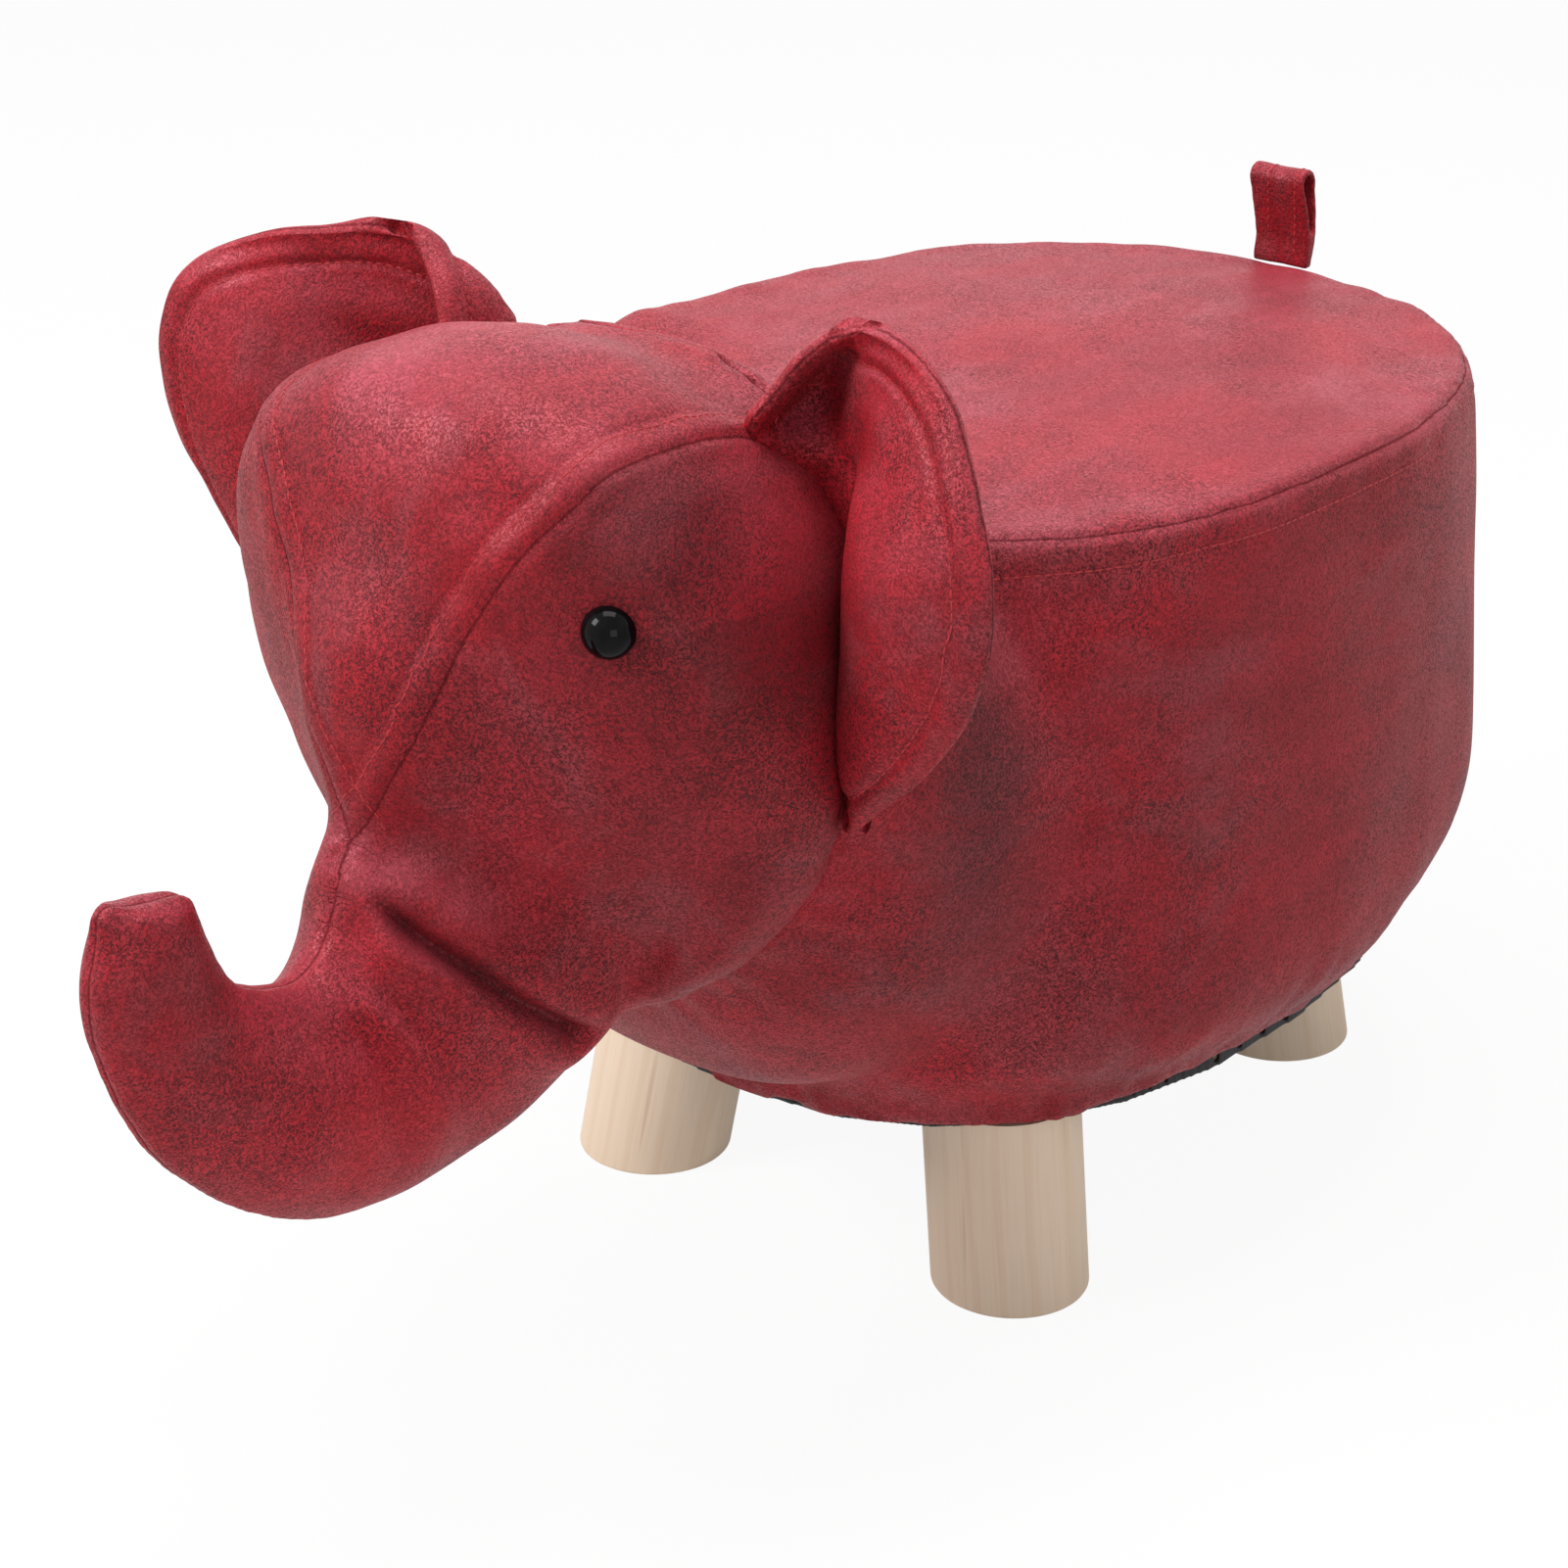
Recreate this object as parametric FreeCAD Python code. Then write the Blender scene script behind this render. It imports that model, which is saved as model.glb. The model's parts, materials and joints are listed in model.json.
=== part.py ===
import FreeCAD, Part
import math
import os
from FreeCAD import Vector

os.makedirs("parts", exist_ok=True)

# Elephant footstool. Lengths in millimetres, +Z up, face towards -Y, the animal's left is +X.
# While it is modelled, the origin lies on the floor in the middle of the feet.

# Driving dimensions of the seat
bodyLength = 314.0
bodyWidth = 247.0
bodyMiddleY = 3.0
standHeight = 62.0
seamHeight = 255.5
seatCrown = 5.0
bodyFlare = 11.0
bodyFullness = 2.3
coverThickness = 1.4
hemLift = 3.0
hemHeight = 9.0
hemWall = 4.0
hemInset = 9.0
trayGap = 0.3
elasticWidth = 6.0
elasticThickness = 1.2

# Wooden frame
boardThickness = 12.0
seatBoardTop = 222.0
wallThickness = 3.0
sideFoamThickness = 12.0
dustCoverThickness = 0.8
dustCoverRim = 9.0
postSide = 34.0
postGap = 0.8
screwRadius = 2.0
screwHeadRadius = 4.0
screwHeadHeight = 3.0
screwLength = 38.0
stapleCrown = 10.0
stapleWire = 1.2
stapleLeg = 6.0
stapleCount = 16

# Legs and their fixings
legRadius = 24.6
frontFootX = 71.0
frontFootY = 97.0
rearFootX = 52.0
rearFootY = 95.0
splaySideways = 8.0
splayLengthways = 5.0
boltRadius = 4.0
boltInLeg = 34.0
boltAboveBoard = 6.0
nutPlateRadius = 13.0
nutPlateThickness = 1.6
nutBarrelRadius = 5.5
nutBarrelLength = 9.0

# Neck, head and trunk
sectionSides = 24
fixingSides = 12
flatness = 1e-7
softFullness = 2.25
trunkFullness = 1.8
skinThickness = 1.4
neckSeamY = -198.0
neckSeamZ = 226.0
neckSeamHalfWidth = 86.0
neckSeamHalfHeight = 90.5
neckSeamLean = 11.3
headLength = 106.0
headHalfWidth = 92.0
headHalfHeight = 96.0
headRise = 12.0
trunkRadius = 50.0
gussetHalfWidth = 57.0
gussetPointZ = 207.0
gussetTopZ = 310.0
trunkSeamY = -308.0
trunkSeamZ = 195.0
trunkSeamLean = 45.0

# Eyes
eyeX = 62.5
eyeY = -273.0
eyeZ = 278.5
eyeUneven = 8.0
eyeSetBack = 7.0
eyeRadius = 7.2
eyeHeight = 5.8
eyeSunk = 1.2
eyeShankRadius = 2.5
eyeShankLength = 12.0
washerRadius = 7.0
washerThickness = 1.5

# Ears
earRootX = 86.0
earRootY = -203.0
earRootZ = 196.0
earTopX = 60.0
earTopY = -186.0
earTopZ = 300.0
earWidth = 83.5
earHeight = 134.0
earForward = 23.0
earCup = 12.0
earPanel = 2.0
earStrips = 4
earRootGap = 1.0
earClearance = 0.5
earFoldForward = 20.0
earFoldBack = 45.0

# Tail loop
tailWidth = 21.0
tailHeight = 30.0
tailStrap = 1.8
tailBelly = 4.8
tailFoot = 1.9
tailGap = 0.3

origin = Vector(0, 0, 0)
xAxis = Vector(1, 0, 0)
yAxis = Vector(0, 1, 0)
zAxis = Vector(0, 0, 1)
made = {}


def ovalPoint(middle, across, up, halfWidth, halfHeight, fullness, turn):
    c = math.cos(turn)
    s = math.sin(turn)
    x = halfWidth * math.copysign(abs(c) ** (2 / fullness), c)
    y = halfHeight * math.copysign(abs(s) ** (2 / fullness), s)
    return middle + across * x + up * y


def ovalRow(middle, across, up, halfWidth, halfHeight, fullness):
    # the corners of a full oval
    return [ovalPoint(middle, across, up, halfWidth, halfHeight, fullness, 2 * math.pi * i / sectionSides)
            for i in range(sectionSides)]


def facet(*corners):
    return Part.Face(Part.makePolygon(list(corners) + [corners[0]]))


def loft(rows):
    # a closed solid of flat facets through rows of corners
    faces = [facet(*rows[0]), facet(*rows[-1])]
    count = len(rows[0])
    for low, high in zip(rows, rows[1:]):
        for i in range(count):
            j = (i + 1) % count
            across = (low[j] - low[i]).cross(high[i] - low[i])
            across.normalize()
            if abs((high[j] - low[i]).dot(across)) < flatness:
                faces.append(facet(low[i], low[j], high[j], high[i]))
            else:
                faces.append(facet(low[i], low[j], high[j]))
                faces.append(facet(low[i], high[j], high[i]))
    shell = Part.Shell(faces)
    shell.sewShape()
    solid = Part.Solid(shell)
    if solid.Volume < 0:
        solid.reverse()
    return solid


def smoothShares(shares, steps):
    # rows added between the given rows, on a curve that passes through them all
    rows = []
    last = len(shares) - 1
    for i in range(last):
        nearby = [shares[max(i - 1, 0)], shares[i], shares[i + 1], shares[min(i + 2, last)]]
        for j in range(steps):
            t = j / steps
            rows.append([b + t / 2 * (c - a + t * (2 * a - 5 * b + 4 * c - d + t * (3 * b - a - 3 * c + d)))
                         for a, b, c, d in zip(*nearby)])
    rows.append(shares[last])
    return rows


def levelOval(z, inset):
    middle = Vector(0, bodyMiddleY, z)
    return ovalRow(middle, xAxis, yAxis, bodyWidth / 2 - inset, bodyLength / 2 - inset, bodyFullness)


def ovalBlock(lowZ, highZ, inset):
    face = facet(*levelOval(lowZ, inset))
    return face.extrude(zAxis * (highZ - lowZ))


def ovalRing(lowZ, highZ, outerInset, innerInset):
    return ovalBlock(lowZ, highZ, outerInset).cut(ovalBlock(lowZ, highZ, innerInset))


def keep(node, shape):
    made[node] = shape


def fixingRow(middle, direction, radius):
    across = direction.cross(yAxis)
    across.normalize()
    up = direction.cross(across)
    up.normalize()
    return [ovalPoint(middle, across, up, radius, radius, 2, 2 * math.pi * i / fixingSides)
            for i in range(fixingSides)]


def bar(radius, height, foot, direction):
    # hidden fixings repeat often, so their round parts are many-sided bars
    return loft([fixingRow(foot, direction, radius), fixingRow(foot + direction * height, direction, radius)])


# Levels of the seat, from the floor up
hemZ = standHeight + hemLift
bandZ = hemZ + hemHeight
baseUnderZ = standHeight + dustCoverThickness
baseTopZ = baseUnderZ + boardThickness
seatBoardUnderZ = seatBoardTop - boardThickness
frameInset = coverThickness + sideFoamThickness
baseInset = hemInset + hemWall + trayGap + dustCoverThickness


def bandBody(inset):
    # the side band leans out on its way down, then is drawn in to the hem
    bandShares = (
        # height, flare
        (0, -0.35), (0.05, 0.3), (0.1, 0.75), (0.17, 1), (0.39, 0.88),
        (0.58, 0.74), (0.76, 0.57), (0.93, 0.28), (1, 0),
    )
    height = seamHeight - bandZ
    return loft([levelOval(bandZ + height * rise, inset - bodyFlare * flare)
                 for rise, flare in bandShares])


def crownBody(inset):
    # the seat panel swells up from its seam and is nearly flat in the middle
    crownShares = ((0, 0), (0.03, 0.17), (0.1, 0.4), (0.24, 0.68), (0.5, 0.92), (0.8, 1))
    rows = []
    for inward, rise in crownShares:
        z = seamHeight - inset + seatCrown * rise
        rows.append(levelOval(z, inset + bodyWidth / 2 * inward))
    return loft(rows)


def makeCovers():
    band = bandBody(0)
    bandInner = bandBody(coverThickness)
    keep("cover_side", band.cut(bandInner))
    crown = crownBody(0)
    crownInner = crownBody(coverThickness)
    keep("cover_seat", crown.cut(crownInner))
    casing = ovalRing(hemZ, bandZ, hemInset, hemInset + hemWall)
    middle = hemInset + hemWall / 2
    elasticLow = hemZ + (hemHeight - elasticWidth) / 2
    elastic = ovalRing(elasticLow, elasticLow + elasticWidth,
                       middle - elasticThickness / 2, middle + elasticThickness / 2)
    keep("hem_elastic", elastic)
    keep("cover_hem", casing.cut(elastic))
    return band.fuse(crown), bandInner, crownInner


def makeFrame():
    keep("seat_board", ovalBlock(seatBoardUnderZ, seatBoardTop, frameInset))
    keep("frame_wall", ovalRing(baseTopZ, seatBoardUnderZ, frameInset, frameInset + wallThickness))
    base = ovalBlock(baseUnderZ, baseTopZ, baseInset)
    tray = ovalBlock(standHeight, baseUnderZ + dustCoverRim, baseInset - dustCoverThickness)
    tray = tray.cut(ovalBlock(baseUnderZ, baseUnderZ + dustCoverRim, baseInset))
    return base, tray


def makePosts():
    # four posts, one at every side of the oval, their outer faces trimmed to the hoop
    room = ovalBlock(baseTopZ, seatBoardUnderZ, frameInset + wallThickness + postGap)
    reachX = bodyWidth / 2 - frameInset - wallThickness - postSide / 2 - postGap
    reachY = bodyLength / 2 - frameInset - wallThickness - postSide / 2 - postGap
    posts = []
    screws = []
    for x, y in ((reachX, 0), (-reachX, 0), (0, reachY), (0, -reachY)):
        middle = Vector(x, bodyMiddleY + y, baseTopZ)
        corner = middle - Vector(postSide / 2, postSide / 2, 0)
        post = Part.makeBox(postSide, postSide, seatBoardUnderZ - baseTopZ, corner)
        posts.append(post.common(room))
        screws.append(makeScrew(Vector(x, middle.y, baseUnderZ), zAxis))
        screws.append(makeScrew(Vector(x, middle.y, seatBoardTop), -zAxis))
    return posts, screws


def makeScrew(head, direction):
    neck = head + direction * screwHeadHeight
    return loft([fixingRow(head, direction, screwHeadRadius), fixingRow(neck, direction, screwRadius),
                 fixingRow(head + direction * screwLength, direction, screwRadius)])


def legPlaces():
    return {
        "leg_front_left": (frontFootX, -frontFootY, 1, -1),
        "leg_front_right": (-frontFootX, -frontFootY, -1, -1),
        "leg_rear_left": (rearFootX, rearFootY, 1, 1),
        "leg_rear_right": (-rearFootX, rearFootY, -1, 1),
    }


def makeLeg(footX, footY, sideways, lengthways):
    # a round leg, splayed both ways, its ends cut level
    leanX = -sideways * math.tan(math.radians(splaySideways))
    leanY = -lengthways * math.tan(math.radians(splayLengthways))
    along = Vector(leanX, leanY, 1)
    foot = Vector(footX, footY, 0)
    reach = legRadius
    length = (standHeight + 2 * reach) * along.Length
    pole = Part.makeCylinder(legRadius, length, foot - along * reach, along)
    slab = Part.makeBox(4 * legRadius + standHeight, 4 * legRadius + standHeight, standHeight,
                        Vector(footX - 2 * legRadius - standHeight / 2,
                               footY - 2 * legRadius - standHeight / 2, 0))
    return pole.common(slab), foot + along * standHeight


def makeLegs(base, tray):
    bolts = []
    nuts = []
    tops = []
    for node, place in legPlaces().items():
        leg, top = makeLeg(*place)
        bolt = bar(boltRadius, boltInLeg + dustCoverThickness + boardThickness + boltAboveBoard,
                   Vector(top.x, top.y, standHeight - boltInLeg), zAxis)
        plateFoot = Vector(top.x, top.y, baseTopZ)
        barrelFoot = Vector(top.x, top.y, baseTopZ - nutBarrelLength)
        barrel = bar(nutBarrelRadius, nutBarrelLength, barrelFoot, zAxis)
        plate = bar(nutPlateRadius, nutPlateThickness, plateFoot, zAxis)
        nut = barrel.fuse(plate).cut(bolt)
        keep(node, leg.cut(bolt))
        base = base.cut(barrel).cut(bolt)
        tray = tray.cut(bolt)
        tops.append(top)
        bolts.append(bolt)
        nuts.append(nut)
    keep("hanger_bolts", Part.Compound(bolts))
    keep("t_nuts", Part.Compound(nuts))
    return base, tray, tops


def makeStaples(legTops):
    # crown staples between the legs hold the dust cover to the underside of the base board
    inset = baseInset + stapleCrown
    halfWidth = bodyWidth / 2 - inset
    halfLength = bodyLength / 2 - inset
    staples = []
    for i in range(stapleCount):
        turn = 2 * math.pi * (i + 0.5) / stapleCount
        middle = ovalPoint(Vector(0, bodyMiddleY, standHeight), xAxis, yAxis,
                           halfWidth, halfLength, bodyFullness, turn)
        if min((middle - top).Length for top in legTops) < legRadius + stapleCrown:
            continue
        crown = Part.makeBox(stapleCrown, stapleWire, stapleWire,
                             Vector(-stapleCrown / 2, -stapleWire / 2, -stapleWire))
        staple = crown
        for end in (-stapleCrown / 2, stapleCrown / 2 - stapleWire):
            leg = Part.makeBox(stapleWire, stapleWire, stapleLeg, Vector(end, -stapleWire / 2, 0))
            staple = staple.fuse(leg)
        staple.rotate(origin, zAxis, math.degrees(turn) + 90)
        staple.translate(middle)
        staples.append(staple)
    return staples


def leanedUp(lean):
    return Vector(0, math.sin(math.radians(lean)), math.cos(math.radians(lean)))


def neckBody(inset):
    # from inside the seat out to the sewn neck seam
    seam = Vector(0, neckSeamY, neckSeamZ)
    reach = abs(neckSeamY) - (bodyLength / 2 - bodyMiddleY)
    neckShares = (
        # forward, drop, width, height, lean
        (-1.1, -0.69, 1.18, 0.95, 0),
        (0.0, -0.5, 1.18, 1.13, 0.2),
        (0.5, -0.28, 1.12, 1.12, 0.6),
        (0.85, -0.07, 1.04, 1.04, 0.9),
        (1, 0, 1, 1, 1),
    )
    rows = []
    for forward, drop, width, height, lean in neckShares:
        middle = seam + Vector(0, reach * (1 - forward), neckSeamHalfHeight * drop)
        rows.append(ovalRow(middle, xAxis, leanedUp(neckSeamLean * lean),
                            neckSeamHalfWidth * width - inset,
                            neckSeamHalfHeight * height - inset, softFullness))
    return loft(rows)


def headBody(inset):
    # swells from the neck seam, then narrows to the face above the trunk
    seam = Vector(0, neckSeamY, neckSeamZ)
    headShares = (
        # forward, rise, width, height, lean
        (0, 0, 0.935, 0.943, 1),
        (0.15, -0.05, 0.995, 0.965, 0.76),
        (0.35, 0.55, 0.98, 0.995, 0.18),
        (0.547, 1.1, 0.87, 0.895, -0.97),
        (0.712, 0.95, 0.62, 0.69, -1),
        (0.854, 0.75, 0.375, 0.47, -0.53),
        (0.965, 0.65, 0.2, 0.27, -0.4),
        (1, 0.6, 0.08, 0.1, -0.35),
    )
    rows = []
    for forward, rise, width, height, lean in smoothShares(headShares, 2):
        middle = seam + Vector(0, -(headLength - inset) * forward, headRise * rise)
        rows.append(ovalRow(middle, xAxis, leanedUp(neckSeamLean * lean),
                            headHalfWidth * width - inset,
                            headHalfHeight * height - inset, softFullness))
    return loft(rows)


def trunkBody(inset):
    # each ring: its place on the inner and on the outer curve of the trunk, and its half width
    root = Vector(0, neckSeamY, neckSeamZ)
    trunkShares = (
        # inner forward, inner rise, outer forward, outer rise, half width
        (1.67, -0.25, 0.29, -1.88, 0.96),
        (2.18, -0.49, 1.10, -2.43, 0.66),
        (2.31, -0.88, 2.09, -2.53, 0.48),
        (2.45, -1.08, 2.78, -2.33, 0.40),
        (2.66, -1.19, 3.41, -1.87, 0.32),
        (3.08, -0.88, 3.81, -1.21, 0.29),
        (3.31, -0.47, 3.95, -0.64, 0.28),
        (3.39, -0.33, 3.74, -0.14, 0.2),
    )
    rows = []
    for innerY, innerZ, outerY, outerZ, width in smoothShares(trunkShares, 2):
        inner = root + Vector(0, -innerY, innerZ) * trunkRadius
        outer = root + Vector(0, -outerY, outerZ) * trunkRadius
        up = inner - outer
        half = up.Length / 2
        up.normalize()
        rows.append(ovalRow((inner + outer) / 2, xAxis, up, trunkRadius * width - inset,
                            half - inset, trunkFullness))
    return loft(rows)


def gussetPrism():
    # the pointed forehead panel, seen from the front, runs back to the neck seam
    drop = gussetTopZ - gussetPointZ
    gussetShares = ((0, 0), (0.18, 0.14), (0.33, 0.3), (0.45, 0.455), (0.54, 0.58),
                    (0.7, 0.74), (0.85, 0.86), (0.97, 0.93), (1, 1))
    right = [Vector(gussetHalfWidth * w, 0, gussetPointZ + drop * z) for w, z in gussetShares]
    left = [Vector(-p.x, 0, p.z) for p in right]
    topZ = gussetTopZ + headHalfHeight
    outline = right + [Vector(right[-1].x, 0, topZ), Vector(left[-1].x, 0, topZ)] + left[:0:-1]
    face = facet(*outline)
    face.translate(Vector(0, neckSeamY - 2 * headLength, 0))
    return face.extrude(yAxis * (3 * headLength))


def halfSpace(side):
    size = 4 * bodyLength
    corner = Vector(0 if side > 0 else -size, -size, -size)
    return Part.makeBox(size, 2 * size, 2 * size, corner)


def lastCrossing(shape, foot, direction):
    # where the line from foot along direction leaves the shape
    line = Part.makeLine(foot, foot + direction * (2 * headLength))
    inside = line.common(shape)
    ends = [v.Point for v in inside.Vertexes]
    return max(ends, key=lambda p: (p - foot).dot(direction))


def makeEye(side, head):
    # a domed button eye on a shank, square to the cheek, locked by a washer behind the fabric
    eye = Vector(side * eyeX, eyeY + eyeSetBack * (1 - side) / 2, eyeZ - side * eyeUneven)
    middle = Vector(0, neckSeamY - headLength * 0.35, neckSeamZ + headRise)
    out = eye - middle
    reach = headLength * 0.65
    out = Vector(out.x / headHalfWidth ** 2, out.y / reach ** 2, out.z / headHalfHeight ** 2)
    out.normalize()
    seat = lastCrossing(head, eye - out * (headLength / 3), out)
    foot = seat - out * eyeSunk
    across = out.cross(zAxis)
    across.normalize()
    domeShares = ((0, 1), (0.3, 0.96), (0.56, 0.84), (0.78, 0.65), (0.93, 0.4), (1, 0.14))
    dome = loft([ovalRow(foot + out * (eyeHeight * rise), across, across.cross(out),
                         eyeRadius * width, eyeRadius * width, 2) for rise, width in domeShares])
    shank = bar(eyeShankRadius, eyeShankLength + eyeSunk, foot - out * eyeShankLength, out)
    washerFoot = foot - out * (skinThickness + washerThickness)
    washer = bar(washerRadius, washerThickness, washerFoot, out)
    return dome.fuse(shank), washer.cut(shank)


def trunkSide():
    # everything below and in front of the seam under the cheeks
    size = 3 * headLength
    block = Part.makeBox(2 * size, size, 2 * size, Vector(-size, -size, -size))
    block.rotate(origin, xAxis, trunkSeamLean)
    block.translate(Vector(0, trunkSeamY, trunkSeamZ))
    return block


def makeHead(seatBody):
    neckOuter = neckBody(0)
    neckInner = neckBody(skinThickness)
    headOuter = headBody(0)
    headInner = headBody(skinThickness)
    trunkOuter = trunkBody(0)
    trunkInner = trunkBody(skinThickness)
    keep("neck_cover", neckOuter.cut(neckInner).cut(seatBody))
    keep("neck_stuffing", neckInner.cut(seatBody))
    ahead = trunkSide()
    outer = headOuter.fuse(trunkOuter)
    inner = headInner.fuse(trunkInner)
    skin = outer.cut(inner)
    keep("trunk_stuffing", inner.common(ahead))
    stuffing = inner.cut(ahead)
    washers = []
    for name, side in (("left", 1), ("right", -1)):
        eye, washer = makeEye(side, headOuter)
        keep("eye_" + name, eye)
        skin = skin.cut(eye).cut(washer)
        stuffing = stuffing.cut(eye).cut(washer)
        washers.append(washer)
    keep("eye_washers", Part.Compound(washers))
    keep("head_stuffing", stuffing)
    headSkin = skin.cut(ahead)
    gusset = gussetPrism()
    keep("forehead_gusset", headSkin.common(gusset))
    cheeks = headSkin.cut(gusset)
    trunkSkin = skin.common(ahead)
    for name, side in (("left", 1), ("right", -1)):
        half = halfSpace(side)
        keep("head_side_" + name, cheeks.common(half))
        keep("trunk_side_" + name, trunkSkin.common(half))


def earFrame():
    # axes of the left ear: up along its sewn root, out along its width, and its front's normal
    foot = Vector(earRootX, earRootY, earRootZ)
    up = Vector(earTopX, earTopY, earTopZ) - foot
    up.normalize()
    forward = math.radians(earForward)
    out = Vector(math.cos(forward), -math.sin(forward), 0)
    out = out - up * out.dot(up)
    out.normalize()
    return foot, up, out, out.cross(up)


def earSection(frame, height, rootShare, rimShare, cupShare, near, far):
    # a strip from root to rim between two offsets from the ear's middle surface
    foot, up, out, front = frame
    level = foot + up * (earHeight * height)
    root = level + out * (earWidth * rootShare + earRootGap)
    rim = level + out * (earWidth * rimShare)
    middle = (root + rim) / 2 + front * (earCup * cupShare)
    middle = middle * 2 - (root + rim) / 2
    line = [root * (1 - t) ** 2 + middle * (2 * t * (1 - t)) + rim * t ** 2
            for t in [i / earStrips for i in range(earStrips + 1)]]
    return [p + front * near for p in line] + [p + front * far for p in line[::-1]]


def makeEars():
    # each ear is two panels, cut to clear the head and the neck over its whole travel
    room = headBody(-earClearance).fuse(neckBody(-earClearance))
    earShares = (
        # height, root, rim, cup
        (0.03, 0.0, 0.14, 0.1),
        (0.1, 0.0, 0.33, 0.45),
        (0.2, 0.0, 0.61, 0.8),
        (0.32, -0.01, 0.84, 1.0),
        (0.5, -0.03, 1.0, 1.0),
        (0.66, -0.06, 1.02, 0.7),
        (0.8, -0.11, 0.94, 0.1),
        (0.9, 0.02, 0.79, -0.2),
        (0.97, 0.16, 0.57, -0.1),
        (1.0, 0.24, 0.4, 0.05),
    )
    frame = earFrame()
    foot, up, out, front = frame
    for panel, near, far in (("front", 0, earPanel), ("back", 0, -earPanel)):
        rows = [earSection(frame, *row, near, far) for row in smoothShares(earShares, 2)]
        shape = loft(rows)
        for turn in (0, earFoldBack / 2, earFoldBack, -earFoldForward / 2, -earFoldForward):
            turned = room.copy()
            turned.rotate(foot, up, -turn)
            shape = shape.cut(turned)
        keep("ear_left_" + panel, shape)
        keep("ear_right_" + panel, shape.mirror(origin, xAxis))


def makeTailLoop():
    # a strap folded over and sewn into the seam by its two ends
    footY = bodyMiddleY + bodyLength / 2 + tailGap + tailFoot
    foot = Vector(0, footY, seamHeight + tailGap)
    top = foot + zAxis * (tailHeight - tailBelly)

    def outline(belly, low, half):
        side = Vector(0, half, 0)
        spread = Vector(0, belly, 0)
        base = foot + zAxis * low
        return Part.Wire([Part.makeLine(base - side, top - spread),
                          Part.Arc(top - spread, top + zAxis * belly, top + spread).toShape(),
                          Part.makeLine(top + spread, base + side),
                          Part.makeLine(base + side, base - side)])

    outer = Part.Face(outline(tailBelly, 0, tailFoot))
    inner = Part.Face(outline(tailBelly - tailStrap, tailHeight / 6, tailFoot / 8))
    loop = outer.cut(inner).extrude(xAxis * tailWidth)
    loop.translate(xAxis * (-tailWidth / 2))
    keep("tail_loop", loop)


def makeAll():
    seatBody, bandInner, crownInner = makeCovers()
    base, tray = makeFrame()
    posts, screws = makePosts()
    base, tray, legTops = makeLegs(base, tray)
    staples = makeStaples(legTops)
    seatBoard = made["seat_board"]
    cutPosts = []
    for post in posts:
        for screw in screws:
            if post.BoundBox.intersect(screw.BoundBox):
                post = post.cut(screw)
        cutPosts.append(post)
    for screw in screws:
        base = base.cut(screw)
        seatBoard = seatBoard.cut(screw)
    for staple in staples:
        base = base.cut(staple)
        tray = tray.cut(staple)
    keep("seat_board", seatBoard)
    keep("base_board", base)
    keep("dust_cover", tray)
    keep("frame_posts", Part.Compound(cutPosts))
    keep("frame_screws", Part.Compound(screws))
    keep("dust_cover_staples", Part.Compound(staples))
    frameCore = ovalBlock(standHeight, seatBoardTop, frameInset)
    rimTop = baseUnderZ + dustCoverRim
    dustCoverRoom = ovalBlock(standHeight, rimTop, frameInset - dustCoverThickness)
    split = ovalBlock(seatBoardTop, seamHeight + seatCrown, 0)
    foamBand = bandInner.cut(frameCore).cut(dustCoverRoom)
    keep("side_foam", foamBand.cut(split))
    keep("seat_foam", bandInner.common(split).fuse(crownInner).removeSplitter())
    makeHead(seatBody)
    makeEars()
    makeTailLoop()


makeAll()
boxes = [shape.optimalBoundingBox(False, False) for shape in made.values()]
lowX = min(box.XMin for box in boxes)
highX = max(box.XMax for box in boxes)
lowY = min(box.YMin for box in boxes)
highY = max(box.YMax for box in boxes)
shift = Vector(-(lowX + highX) / 2, -(lowY + highY) / 2, 0)
print("box", round(highX - lowX, 2), round(highY - lowY, 2), round(max(box.ZMax for box in boxes), 2),
      "lowest", round(min(box.ZMin for box in boxes), 3), "shift", round(shift.x, 4), round(shift.y, 4))
for node, shape in made.items():
    shape = shape.copy()
    shape.translate(shift)
    solids = shape.Solids
    if len(solids) == 1:
        shape = solids[0]
    print(node, len(solids), "solids", round(sum(s.Volume for s in solids)), "mm3",
          "valid" if shape.isValid() else "INVALID")
    shape.exportStep("parts/" + node + ".step")
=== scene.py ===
import json, math
import bpy
import numpy as np
from mathutils import Matrix, Vector, kdtree, noise
from mathutils.bvhtree import BVHTree

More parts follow.
